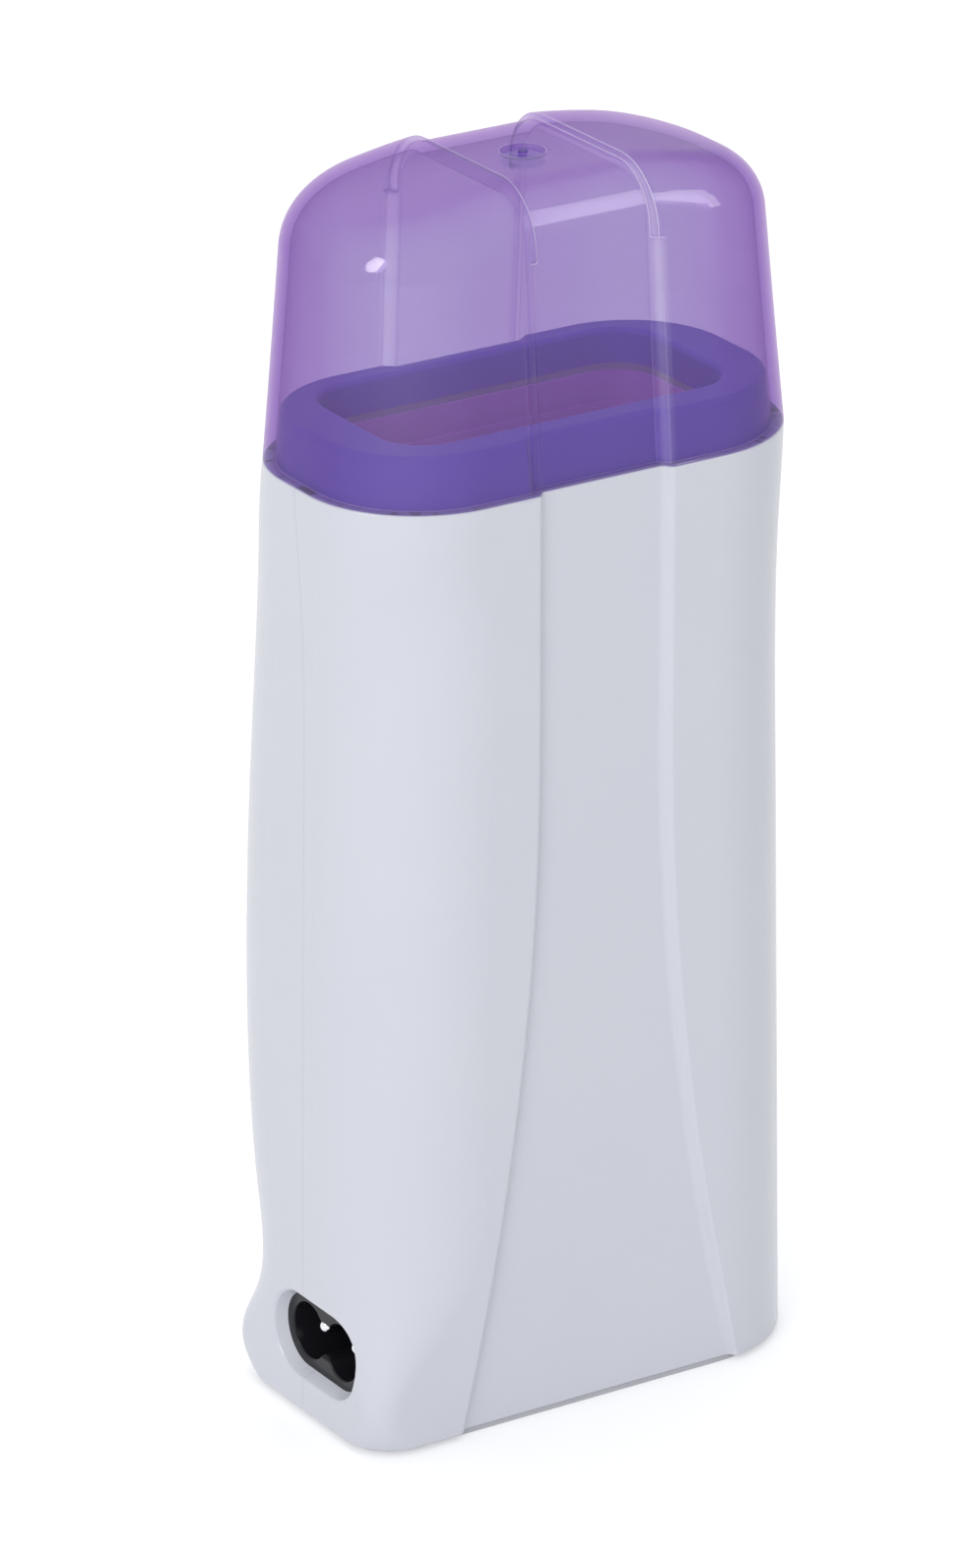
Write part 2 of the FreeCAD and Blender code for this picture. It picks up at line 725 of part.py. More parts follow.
PIN_TIP = f"({INLET_FACE} + dims.pin_setback)"
PIN_SHOULDER = f"({INLET_FACE} + dims.inlet_recess)"
PIN_END = f"({INLET_BACK} + dims.pin_tail)"
PIN_BORE = "dims.pin_tail_diameter + dims.seat_clearance"
pin_holes = fuse("pin_holes", pin_rods("pin_hole", INLET_FACE, PIN_END, PIN_BORE))
inlet_socket = cut("inlet_socket", inlet_socket_body(), pin_holes)

pins = []
pin_fronts = pin_rods("pin_shank", f"{PIN_TIP} + dims.pin_diameter / 2", PIN_SHOULDER,
                      "dims.pin_diameter")
pin_tails = pin_rods("pin_tail", PIN_SHOULDER, PIN_END, "dims.pin_tail_diameter")
for shank, tail in zip(pin_fronts, pin_tails):
    tip = doc.addObject("Part::Sphere", f"{shank.Name}_tip")
    tip.setExpression("Radius", "dims.pin_diameter / 2")
    for axis in "xyz":
        tip.setExpression(f"Placement.Base.{axis}", f"{shank.Name}.Placement.Base.{axis}")
    pins.append(fuse(f"{shank.Name}_whole", [shank, tip, tail]))
inlet_pins = group("inlet_pins", pins)

RECEPTACLE_END = f"({INLET_BACK} + dims.receptacle_length)"
receptacles = []
sleeves = pin_rods("receptacle", INLET_BACK, RECEPTACLE_END, "dims.receptacle_diameter")
bores = pin_rods("receptacle_bore", f"{INLET_BACK} - {OVERRUN}",
                 f"{PIN_END} + dims.seat_clearance", PIN_BORE)
for sleeve, bore in zip(sleeves, bores):
    receptacles.append(cut(f"{sleeve.Name}_open", sleeve, bore))
terminal_receptacles = group("terminal_receptacles", receptacles)


# ------------------------------------------------------------------ shells

def shell_blank():
    """Both shells in one, hollow, with everything that stands inside them."""
    rim_bore = new_body("rim_bore")
    bore_level = f"{RIM} - dims.rim_band"
    bore_outline = outline_sketch(rim_bore, "rim_bore_outline", bore_level,
                                  case_plan("rim", "dims.rim_wall"))
    pad(rim_bore, "rim_bore_pad", bore_outline, f"dims.rim_band + {OVERRUN}")
    inside = common("case_inside", [
        case_inner, slab("inside_levels", "dims.floor_thickness", bore_level),
    ])
    walls = cut("case_walls", case_outer, fuse("case_hollow", [inside, rim_bore]))

    inner_parts = []
    foot = "dims.floor_thickness / 2"
    for name, (side, level) in SCREW_PLACES.items():
        inner_parts.append(rod(f"{name}_boss", "y", side, level, -FAR, 2 * FAR,
                               "dims.boss_diameter"))
    for word, side in (("left", "dims.left_rib_side"), ("right", "dims.right_rib_side")):
        across = (f"{side} - dims.rib_thickness / 2", f"{side} + dims.rib_thickness / 2")
        inner_parts.append(box(f"{word}_front_rib", across, (-FAR, "-dims.rib_setback"),
                               (foot, CRADLE_LEVEL)))
        inner_parts.append(box(f"{word}_back_rib", across, ("dims.rib_setback", FAR),
                               (foot, CRADLE_LEVEL)))
    reach = "dims.inlet_length / 2 + dims.inlet_flange + dims.housing_wall"
    inner_parts.append(box(
        "inlet_housing",
        (-FAR, f"{INLET_FACE} + dims.housing_depth"),
        (f"-dims.inlet_forward - ({reach})", f"-dims.inlet_forward + {reach}"),
        (foot, f"{INLET_TOP} + dims.housing_wall"),
    ))
    kept = common("case_ribs", [fuse("case_rib_blanks", inner_parts), case_middle])
    return fuse("case_blank", [walls, kept])


def shell_openings():
    """All that is cut from the two shells."""
    cuts = [inlet_form("inlet_seat", "dims.seat_clearance", f"dims.housing_depth + {OVERRUN}")]
    scoop = new_body("inlet_scoop")
    scoop_outlines = []
    for word, level, growth in (
        ("inner", INLET_FACE, "0"),
        ("outer", f"{INLET_FACE} - 2 * dims.shell_wall", "2 * dims.scoop_slope"),
    ):
        scoop_outlines.append(stadium_sketch(
            scoop, f"scoop_{word}", "YZ_Plane", level, "-dims.inlet_forward", "dims.inlet_level",
            f"dims.inlet_length + 2 * {growth}", f"dims.inlet_height + 2 * {growth}",
        ))
    loft(scoop, "scoop_loft", "Additive", scoop_outlines)
    cuts.append(scoop)
    for name, (side, level) in SCREW_PLACES.items():
        tip = "-dims.screw_reach - dims.seat_clearance"
        cuts.append(rod(f"{name}_bore", "y", side, level, tip, FAR, SCREW_BORE))
        cuts.append(rod(f"{name}_well", "y", side, level, "dims.screw_seat", FAR,
                        "dims.screw_head + 2 * dims.seat_clearance"))
    cuts += lug_blocks("lug_slot", "dims.seat_clearance", f"{RIM} - dims.rim_band + {OVERRUN}")
    return fuse("shell_openings", cuts)


def lug_blocks(name, growth, top):
    """The neck's two lugs, or the slots in the screw bosses that take them."""
    blocks = []
    for side in (-1, 1):
        word = "left" if side < 0 else "right"
        middle = f"{side} * {UPPER_SCREW_SIDE}"
        reach = f"dims.lug_width / 2 + {growth}"
        depth = f"dims.lug_thickness / 2 + {growth}"
        blocks.append(box(
            f"{name}_{word}",
            (f"{middle} - ({reach})", f"{middle} + {reach}"),
            (f"-({depth})", depth),
            (f"{UPPER_SCREW_LEVEL} - dims.lug_drop - ({growth})", top),
        ))
    return blocks


def on_scoop_lip(edge):
    """True for the edges where the inlet's scoop meets the case's left end."""
    bounds = edge.BoundBox
    outermost = doc.getObject("scoop_inner").Placement.Base.x - size("shell_wall") / 2
    lowest = size("foot_round")
    highest = size("inlet_level") + size("inlet_height")
    return bounds.XMax < outermost and bounds.ZMin > lowest and bounds.ZMax < highest


both_shells = new_body("both_shells")
both_shells.BaseFeature = cut("case_shells", shell_blank(), shell_openings())
round_edges(both_shells, "scoop_lip", "dims.scoop_round", on_scoop_lip)
front_half = box("front_half", (-FAR, FAR), (-FAR, 0), (-FAR, 2 * FAR))
back_half = box("back_half", (-FAR, FAR), (0, FAR), (-FAR, 2 * FAR))
front_shell = common("front_shell", [both_shells, front_half])
back_shell = common("back_shell", [both_shells, back_half])


# ---------------------------------------------------------------- foot pad

foot_pad = new_body("foot_pad")
foot_outline = outline_sketch(foot_pad, "foot_outline", "-dims.foot_thickness",
                              case_plan("base", "dims.foot_inset"))
pad(foot_pad, "foot", foot_outline, "dims.foot_thickness")


# ------------------------------------------------------------------ screws

def pan_screw(name, axis_side, axis_level, tip, seat):
    """A pan-head screw from a tip to the face that its head seats on, along Y."""
    shank = rod(f"{name}_shank", "y", axis_side, axis_level, tip, f"({seat}) - ({tip})",
                "dims.screw_shank")
    head = rod(f"{name}_head", "y", axis_side, axis_level, seat, "dims.screw_head_height",
               "dims.screw_head")
    depth = (f"{seat} + dims.screw_head_height - dims.screw_cross_depth", FAR)
    slots = []
    for word, wide, high in (
        ("level", "dims.screw_cross", "dims.screw_cross_width"),
        ("upright", "dims.screw_cross_width", "dims.screw_cross"),
    ):
        slots.append(box(
            f"{name}_{word}_slot",
            (f"{axis_side} - {wide} / 2", f"{axis_side} + {wide} / 2"),
            depth,
            (f"{axis_level} - {high} / 2", f"{axis_level} + {high} / 2"),
        ))
    return cut(name, fuse(f"{name}_whole", [shank, head]), fuse(f"{name}_cross", slots))


case_screws = group("case_screws", [
    pan_screw(f"case_screw_{name}", side, level, "-dims.screw_reach", "dims.screw_seat")
    for name, (side, level) in SCREW_PLACES.items()
])


# ------------------------------------------------------- cartridge chamber

chamber_body = new_body("chamber_body")
chamber_outline = outline_sketch(chamber_body, "chamber_outline", "dims.chamber_level",
                                 chamber_plan("0"))
pad(chamber_body, "chamber_pad", chamber_outline, f"{CHAMBER_TOP} - dims.chamber_level")
flange_outline = outline_sketch(chamber_body, "flange_outline",
                                f"{CHAMBER_TOP} - dims.flange_thickness",
                                chamber_plan("dims.chamber_flange"))
pad(chamber_body, "flange_pad", flange_outline, "dims.flange_thickness")
bore_outline = outline_sketch(chamber_body, "bore_outline", CHAMBER_TOP,
                              chamber_plan("-dims.chamber_wall"))
pocket(chamber_body, "chamber_bore", bore_outline,
       f"{CHAMBER_TOP} - dims.chamber_level - dims.chamber_floor")
bead_outline = outline_sketch(chamber_body, "bead_outline", f"{CHAMBER_TOP} - dims.bead_drop",
                              chamber_plan("dims.bead_depth - dims.chamber_wall"))
pocket(chamber_body, "bead", bead_outline, "dims.bead_height")

PLATE_TOP = f"({CHAMBER_TOP} - dims.plate_drop)"
STUD_LEVELS = {
    "lower": "(dims.plate_level - dims.stud_gap - dims.strap_foot / 2)",
    "upper": f"({PLATE_TOP} + dims.stud_gap + dims.strap_foot / 2)",
}
STUD_END = f"({CHAMBER_BACK} + dims.stud_height)"
studs = []
stud_holes = []
for word, level in STUD_LEVELS.items():
    studs.append(rod(f"{word}_stud", "y", "0", level, f"{CHAMBER_BACK} - dims.chamber_wall / 2",
                     "dims.stud_height + dims.chamber_wall / 2", "dims.stud_diameter"))
    stud_holes.append(rod(f"{word}_stud_hole", "y", "0", level, CHAMBER_BACK, FAR, SCREW_BORE))
heating_chamber = cut("heating_chamber", fuse("chamber_and_studs", [chamber_body, *studs]),
                      fuse("stud_holes", stud_holes))

chamber_gasket = new_body("chamber_gasket")
gasket_outline = outline_sketch(chamber_gasket, "gasket_outline", CHAMBER_TOP,
                                chamber_plan("dims.chamber_flange"))
pad(chamber_gasket, "gasket_pad", gasket_outline, "dims.gasket_thickness")
gasket_hole = outline_sketch(chamber_gasket, "gasket_hole", LIP_LEVEL,
                             chamber_plan(MOUTH_GROWTH))
pocket(chamber_gasket, "gasket_opening", gasket_hole, "dims.gasket_thickness")

chamber_cradle = new_body("chamber_cradle")
cradle_outline = outline_sketch(chamber_cradle, "cradle_outline", CRADLE_LEVEL,
                                chamber_plan("dims.seat_clearance + dims.cradle_wall"))
pad(chamber_cradle, "cradle_pad", cradle_outline, "dims.cradle_floor + dims.cradle_height")
cradle_seat = outline_sketch(chamber_cradle, "cradle_seat_outline",
                             "dims.chamber_level + dims.cradle_height",
                             chamber_plan("dims.seat_clearance"))
pocket(chamber_cradle, "cradle_seat", cradle_seat, "dims.cradle_height")
vent = circle_sketch(chamber_cradle, "cradle_vent_outline", "XY_Plane", "dims.chamber_level",
                     "0", "dims.chamber_shift", ["dims.cradle_vent"])
pocket(chamber_cradle, "cradle_vent", vent, "dims.cradle_floor")


# ---------------------------------------------------------- neck and mouth

def neck_plan(extra):
    """The neck's outline inside the cap, drawn in further by extra."""
    return case_plan("rim", f"dims.cap_wall + dims.cap_clearance + {extra}")


neck = new_body("neck")
neck_outlines = []
neck_trays = {-1: [], 1: []}
NECK_LEVELS = (("foot", RIM, "0"), ("top", NECK_TOP, "dims.neck_draft"))
for word, level, extra in NECK_LEVELS:
    plan = neck_plan(extra)
    neck_outlines.append(outline_sketch(neck, f"neck_{word}", level, plan))
    floor_half = panel_floor_half(RIM, f"dims.cap_wall + dims.cap_clearance + {extra}")
    for side, depth in ((-1, plan["front"]), (1, plan["back"])):
        neck_trays[side].append(panel_sketch(
            neck, f"neck_{word}_tray_{'front' if side < 0 else 'back'}", level, floor_half,
            f"{depth} - dims.panel_depth", side,
        ))
loft(neck, "neck_loft", "Additive", neck_outlines)
loft(neck, "neck_front_panel", "Subtractive", neck_trays[-1])
loft(neck, "neck_back_panel", "Subtractive", neck_trays[1])
spigot_outline = outline_sketch(neck, "spigot_outline", f"{RIM} - {SPIGOT_DEPTH}",
                                case_plan("rim", "dims.rim_wall + dims.seat_clearance"))
pad(neck, "spigot", spigot_outline, SPIGOT_DEPTH)
hollow_outline = outline_sketch(
    neck, "neck_hollow_outline", NECK_CEILING,
    case_plan("rim", "dims.rim_wall + dims.seat_clearance + dims.neck_wall"))
pocket(neck, "neck_hollow", hollow_outline, f"{NECK_CEILING} - {RIM} + {SPIGOT_DEPTH}")
skirt_outline = outline_sketch(neck, "skirt_outline", LIP_LEVEL,
                               chamber_plan(f"{MOUTH_GROWTH} + dims.neck_wall"))
pad(neck, "skirt", skirt_outline, f"{NECK_TOP} - {LIP_LEVEL} - dims.neck_plate / 2")
mouth_outline = outline_sketch(neck, "mouth_outline", NECK_TOP, chamber_plan(MOUTH_GROWTH))
pocket(neck, "mouth", mouth_outline, "dims.lip_depth")

lug_holes = [
    rod(f"lug_hole_{name}", "y", side, level, -FAR, 2 * FAR, SCREW_BORE)
    for name, (side, level) in SCREW_PLACES.items() if name.startswith("upper")
]
lugs = lug_blocks("lug", "0", f"{NECK_TOP} - dims.neck_plate / 2")
mouth_frame = new_body("mouth_frame")
mouth_frame.BaseFeature = cut("neck_with_lugs", fuse("neck_and_lugs", [neck, *lugs]),
                              fuse("lug_holes", lug_holes))
round_edges(mouth_frame, "neck_top_round", "dims.neck_round",
            at_level(size("shell_height") + size("neck_height")))


# --------------------------------------------- heating plate and its fittings

PLATE_BACK = f"({CHAMBER_BACK} + dims.plate_thickness)"
PLATE_HALF = f"({CHAMBER_HALF} - dims.plate_margin)"
ptc_heater = box("ptc_heater", (f"-{PLATE_HALF}", PLATE_HALF), (CHAMBER_BACK, PLATE_BACK),
                 ("dims.plate_level", PLATE_TOP))

STRAP = "dims.strap_thickness"
LOWER_FOOT = f"({STUD_LEVELS['lower']} - dims.strap_foot / 2)"
UPPER_FOOT = f"({STUD_LEVELS['upper']} + dims.strap_foot / 2)"
LOWER_KNEE = f"({STUD_LEVELS['lower']} + dims.strap_foot / 2)"
UPPER_KNEE = f"({STUD_LEVELS['upper']} - dims.strap_foot / 2)"
heater_strap_body = new_body("heater_strap_body")
strap_profile = polygon_sketch(heater_strap_body, "strap_profile", "YZ_Plane",
                               "-dims.strap_width / 2", [
    (STUD_END, LOWER_FOOT),
    (f"{STUD_END} + {STRAP}", LOWER_FOOT),
    (f"{STUD_END} + {STRAP}", LOWER_KNEE),
    (f"{PLATE_BACK} + {STRAP}", LOWER_KNEE),
    (f"{PLATE_BACK} + {STRAP}", UPPER_KNEE),
    (f"{STUD_END} + {STRAP}", UPPER_KNEE),
    (f"{STUD_END} + {STRAP}", UPPER_FOOT),
    (STUD_END, UPPER_FOOT),
    (STUD_END, f"{UPPER_KNEE} - {STRAP}"),
    (PLATE_BACK, f"{UPPER_KNEE} - {STRAP}"),
    (PLATE_BACK, f"{LOWER_KNEE} + {STRAP}"),
    (STUD_END, f"{LOWER_KNEE} + {STRAP}"),
])
pad(heater_strap_body, "strap_pad", strap_profile, "dims.strap_width")
strap_holes = [
    rod(f"strap_hole_{word}", "y", "0", level, -FAR, 2 * FAR, SCREW_BORE)
    for word, level in STUD_LEVELS.items()
]
heater_strap = cut("heater_strap", heater_strap_body, fuse("strap_holes", strap_holes))
strap_screws = group("strap_screws", [
    pan_screw(f"strap_screw_{word}", "0", level, f"{CHAMBER_BACK} + dims.seat_clearance",
              f"{STUD_END} + {STRAP}")
    for word, level in STUD_LEVELS.items()
])

THERMOSTAT_LEVEL = f"({UPPER_FOOT} + dims.thermostat_gap)"
thermostat = box("thermostat", ("-dims.thermostat_width / 2", "dims.thermostat_width / 2"),
                 (CHAMBER_BACK, f"{CHAMBER_BACK} + dims.thermostat_thickness"),
                 (THERMOSTAT_LEVEL, f"{THERMOSTAT_LEVEL} + dims.thermostat_height"))
FUSE_SIDE = f"-({PLATE_HALF} + dims.fuse_gap)"
thermal_fuse = rod("thermal_fuse", "z", FUSE_SIDE, LEAD_PLANE, "dims.fuse_level",
                   "dims.fuse_length", "dims.fuse_diameter")

FELT_HEIGHT = f"({CHAMBER_TOP} - dims.felt_drop - dims.felt_level)"
felt_ring = new_body("felt_ring")
felt_outline = outline_sketch(felt_ring, "felt_outline", "dims.felt_level",
                              chamber_plan("dims.seat_clearance + dims.felt_thickness"))
pad(felt_ring, "felt_pad", felt_outline, FELT_HEIGHT)
felt_inside = outline_sketch(felt_ring, "felt_inside", f"dims.felt_level + {FELT_HEIGHT}",
                             chamber_plan("dims.seat_clearance"))
pocket(felt_ring, "felt_opening", felt_inside, FELT_HEIGHT)
felt_back = box("felt_back", (-FAR, FAR), (f"{CHAMBER_BACK} - dims.felt_setback", FAR),
                (-FAR, 2 * FAR))
insulation_felt = cut("insulation_felt", felt_ring, felt_back)


# ------------------------------------------------------------------- leads

def bent_path(corners, bend):
    """Straight runs between corners, joined by arcs of one radius."""
    edges = []
    start = corners[0]
    for before, corner, after in zip(corners, corners[1:], corners[2:]):
        arriving = (corner - before).normalize()
        leaving = (after - corner).normalize()
        setback = bend * math.tan(arriving.getAngle(leaving) / 2)
        arc_start = corner - arriving * setback
        arc_end = corner + leaving * setback
        inward = (leaving - arriving).normalize()
        centre_distance = math.hypot(bend, setback)
        arc_middle = corner + inward * (centre_distance - bend)
        edges.append(Part.LineSegment(start, arc_start).toShape())
        edges.append(Part.Arc(arc_start, arc_middle, arc_end).toShape())
        start = arc_end
    edges.append(Part.LineSegment(start, corners[-1]).toShape())
    return Part.Wire(edges)


def lead(name, *corners):
    """An insulated lead swept along its bent path."""
    points = [FreeCAD.Vector(*corner) for corner in corners]
    radius = size("lead_diameter") / 2
    section = Part.Wire(Part.Circle(points[0], points[1] - points[0], radius).toShape())
    path = bent_path(points, size("lead_bend"))
    swept = doc.addObject("Part::Feature", name)
    swept.Shape = path.makePipeShell([section], True, True)
    return swept


doc.recompute()
fuse_x, fuse_y, fuse_low = thermal_fuse.Placement.Base
fuse_high = fuse_low + size("fuse_length")
plate_low = size("plate_level")
thermostat_left = thermostat.Placement.Base.x
thermostat_right = thermostat_left + size("thermostat_width")
thermostat_middle = thermostat.Placement.Base.z + size("thermostat_height") / 2
front_pin, back_pin = [sleeve.Placement.Base.y for sleeve in sleeves]
receptacle_end = sleeves[0].Placement.Base.x + size("receptacle_length")
inlet_middle = size("inlet_level")
under_cradle = size("chamber_level") - size("cradle_floor") - size("lead_drop")
plate_side = ptc_heater.Length.Value / 2 - size("lead_inset")
return_side = -fuse_x
return_low = plate_low - size("return_lead_drop")
live_side = -size("live_lead_side")

neutral_lead = lead(
    "neutral_lead",
    (-plate_side, fuse_y, plate_low),
    (-plate_side, fuse_y, under_cradle),
    (-plate_side, back_pin, under_cradle),
    (-plate_side, back_pin, inlet_middle),
    (receptacle_end, back_pin, inlet_middle),
)
live_lead = lead(
    "live_lead",
    (fuse_x, fuse_y, fuse_low),
    (fuse_x, fuse_y, under_cradle),
    (fuse_x, front_pin, under_cradle),
    (live_side, front_pin, under_cradle),
    (live_side, front_pin, inlet_middle),
    (receptacle_end, front_pin, inlet_middle),
)
link_lead = lead(
    "link_lead",
    (fuse_x, fuse_y, fuse_high),
    (fuse_x, fuse_y, thermostat_middle),
    (thermostat_left, fuse_y, thermostat_middle),
)
return_lead = lead(
    "return_lead",
    (thermostat_right, fuse_y, thermostat_middle),
    (return_side, fuse_y, thermostat_middle),
    (return_side, fuse_y, return_low),
    (plate_side, fuse_y, return_low),
    (plate_side, fuse_y, plate_low),
)

crimps = []
CRIMP_STARTS = {
    "lower": "dims.fuse_level - dims.sleeve_gap - dims.sleeve_length",
    "upper": "dims.fuse_level + dims.fuse_length + dims.sleeve_gap",
}
for word, start in CRIMP_STARTS.items():
    sleeve = rod(f"crimp_{word}", "z", FUSE_SIDE, LEAD_PLANE, start, "dims.sleeve_length",
                 "dims.sleeve_diameter")
    bore = rod(f"crimp_bore_{word}", "z", FUSE_SIDE, LEAD_PLANE, start, "dims.sleeve_length",
               "dims.lead_diameter + dims.seat_clearance")
    crimps.append(cut(f"crimp_{word}_open", sleeve, bore))
crimp_sleeves = group("crimp_sleeves", crimps)


# --------------------------------------------------------------------- cap

CROWN_LEVEL = f"({RIM} + dims.crown_rise)"
CROWN_SECTION = f"({CROWN_LEVEL} + {OVERRUN})"
CAP_LEAN = f"(dims.crown_depth_draw / (dims.crown_rise + {OVERRUN}))"


def cap_depth(rise):
    """Distance of the cap's leaning faces from the split plane, so far above the rim."""
    return f"({RIM_DEPTH} - ({rise}) * {CAP_LEAN})"


def cap_plan(rise, draw, inset):
    """The cap's outline so far above the rim, drawn in from it."""
    return rounded_plan(f"{RIM_HALF} - {draw} - ({inset})", f"2 * ({cap_depth(rise)} - ({inset}))",
                        f"dims.cap_end_radius - ({inset})")


def cap_path(body, name, inset):
    """The middle line of the sunk panel's floor: up the front, over and down the back."""
    sketch = new_sketch(body, name, "YZ_Plane")
    depth, low, high, bend = 20.0, 134.0, 178.0, 8.0
    top_left = FreeCAD.Vector(bend - depth, high, 0)
    top_right = FreeCAD.Vector(depth - bend, high, 0)
    axis = FreeCAD.Vector(0, 0, 1)
    down = FreeCAD.Vector(0, -bend, 0)
    left_foot = FreeCAD.Vector(-depth, low, 0)
    right_foot = FreeCAD.Vector(depth, low, 0)
    sketch.addGeometry(Part.LineSegment(left_foot, FreeCAD.Vector(-depth, high - bend, 0)))
    left_bend = Part.Circle(top_left + down, axis, bend)
    sketch.addGeometry(Part.ArcOfCircle(left_bend, math.pi / 2, math.pi))
    sketch.addGeometry(Part.LineSegment(top_left, top_right))
    right_bend = Part.Circle(top_right + down, axis, bend)
    sketch.addGeometry(Part.ArcOfCircle(right_bend, 0, math.pi / 2))
    sketch.addGeometry(Part.LineSegment(FreeCAD.Vector(depth, high - bend, 0), right_foot))
    for ends in ((0, 2, 1, 2), (1, 1, 2, 1), (2, 2, 3, 2), (3, 1, 4, 1)):
        sketch.addConstraint(Sketcher.Constraint("Tangent", *ends))
    sketch.addConstraint(Sketcher.Constraint("Horizontal", 2))
    sketch.addConstraint(Sketcher.Constraint("Equal", 1, 3))
    sketch.addConstraint(Sketcher.Constraint("Equal", 0, 4))
    sketch.addConstraint(Sketcher.Constraint("Symmetric", 0, 1, 4, 2, -2))
    floor = f"({inset}) + dims.panel_depth"
    dimension(sketch, "bend", f"dims.cap_shoulder - ({floor})", bend, "Radius", 1)
    dimension(sketch, "height", f"{CROWN_LEVEL} - ({floor})", high, "DistanceY", -1, 1, 2, 1)
    dimension(sketch, "start_depth", f"{cap_depth(-OVERRUN)} - ({floor})", depth,
              "DistanceX", 0, 1, -1, 1)
    dimension(sketch, "start_level", f"{RIM} - {OVERRUN}", low, "DistanceY", -1, 1, 0, 1)
    dimension(sketch, "lean", f"90 deg - atan({CAP_LEAN})", math.pi / 2, "Angle", 0)
    return sketch


def arch_sketch(body, name, inset):
    """Everything above the crown's arc, seen from the front."""
    sketch = new_sketch(body, name, "XZ_Plane", level=f"{FAR}")
    half, low, high, bend = 60.0, 158.0, 190.0, 97.0
    start = math.acos(half / bend)
    centre = FreeCAD.Vector(0, low - bend * math.sin(start), 0)
    circle = Part.Circle(centre, FreeCAD.Vector(0, 0, 1), bend)
    sketch.addGeometry(Part.ArcOfCircle(circle, start, math.pi - start))
    corners = [(-half, low), (-half, high), (half, high), (half, low)]
    points = [FreeCAD.Vector(x, y, 0) for x, y in corners]
    for first, second in zip(points, points[1:]):
        sketch.addGeometry(Part.LineSegment(first, second))
    for first, first_end, second in ((0, 2, 1), (1, 2, 2), (2, 2, 3)):
        sketch.addConstraint(Sketcher.Constraint("Coincident", first, first_end, second, 1))
    sketch.addConstraint(Sketcher.Constraint("Coincident", 3, 2, 0, 1))
    sketch.addConstraint(Sketcher.Constraint("Vertical", 1))
    sketch.addConstraint(Sketcher.Constraint("Horizontal", 2))
    sketch.addConstraint(Sketcher.Constraint("Vertical", 3))
    sketch.addConstraint(Sketcher.Constraint("PointOnObject", 0, 3, -2))
    dimension(sketch, "radius", f"dims.crown_radius - ({inset})", bend, "Radius", 0)
    dimension(sketch, "centre", f"{CROWN_LEVEL} - dims.crown_radius", centre.y, "DistanceY",
              -1, 1, 0, 3)
    for word, first, second in (("left", (1, 1), (-1, 1)), ("right", (-1, 1), (3, 1))):
        dimension(sketch, word, f"1.5 * {RIM_HALF}", half, "DistanceX", *first, *second)
    dimension(sketch, "top", f"{CROWN_SECTION} + {OVERRUN}", high, "DistanceY", -1, 1, 2, 1)
    return sketch


def cap_form(name, inset, slope):
    """The cap as one solid: leaning sides, an arched crown, round shoulders, sunk panel."""
    body = new_body(name)
    sections = (
        ("rim", RIM, case_plan("rim", inset)),
        ("middle", f"{RIM} + dims.cap_middle_rise",
         cap_plan("dims.cap_middle_rise", "dims.cap_middle_draw", inset)),
        ("crown", CROWN_SECTION,
         cap_plan(f"dims.crown_rise + {OVERRUN}", "dims.crown_draw", inset)),
    )
    outlines = []
    for word, level, plan in sections:
        outlines.append(outline_sketch(body, f"{name}_{word}", level, plan))
    loft(body, f"{name}_sides", "Additive", outlines)
    pocket(body, f"{name}_arch", arch_sketch(body, f"{name}_arch_outline", inset), 2 * FAR)
    middle_level = size("shell_height") + size("cap_middle_rise")
    round_edges(body, f"{name}_shoulders", f"dims.cap_shoulder - ({inset})",
                lambda edge: edge.BoundBox.ZMin > middle_level)
    profile = panel_sketch(body, f"{name}_panel_profile", f"{RIM} - {OVERRUN}",
                           panel_floor_half(RIM, inset),
                           f"{cap_depth(-OVERRUN)} - ({inset}) - dims.panel_depth", -1, slope)
    panel = body.newObject("PartDesign::SubtractivePipe", f"{name}_panel")
    panel.Profile = profile
    panel.Spine = cap_path(body, f"{name}_panel_path", inset)
    return body


def soften_cap_panel(body):
    """The soft edges that the case's sunk panel keeps up to the notch in the cap."""
    for side, word in ((-1, "front"), (1, "back")):
        trays = []
        for end, rise in (("low", f"-{OVERRUN}"), ("notch", "dims.notch_rise")):
            floor = f"{cap_depth(rise)} - dims.panel_depth"
            trays.append(soft_panel_sketch(body, f"cap_{word}_{end}", f"{RIM} + {rise}",
                                           panel_floor_half(RIM, "0"), floor, side))
        loft(body, f"cap_{word}_edges", "Subtractive", trays)


cap_outer = cap_form("cap_outer", "0", "dims.channel_slope")
soften_cap_panel(cap_outer)
round_edges(cap_outer, "cap_rim_round", "dims.rim_round", at_level(size("shell_height")))
gate_outline = circle_sketch(cap_outer, "gate_outline", "XY_Plane",
                             f"{CROWN_LEVEL} - dims.panel_depth", "0", "0",
                             ["dims.gate_diameter", "dims.gate_nub"])
pocket(cap_outer, "gate", gate_outline, "dims.gate_depth")
cap_inner = cap_form("cap_inner", "dims.cap_wall", "dims.panel_slope")
cap = cut("cap", cap_outer, cap_inner)


# ------------------------------------------------------------ finished pieces

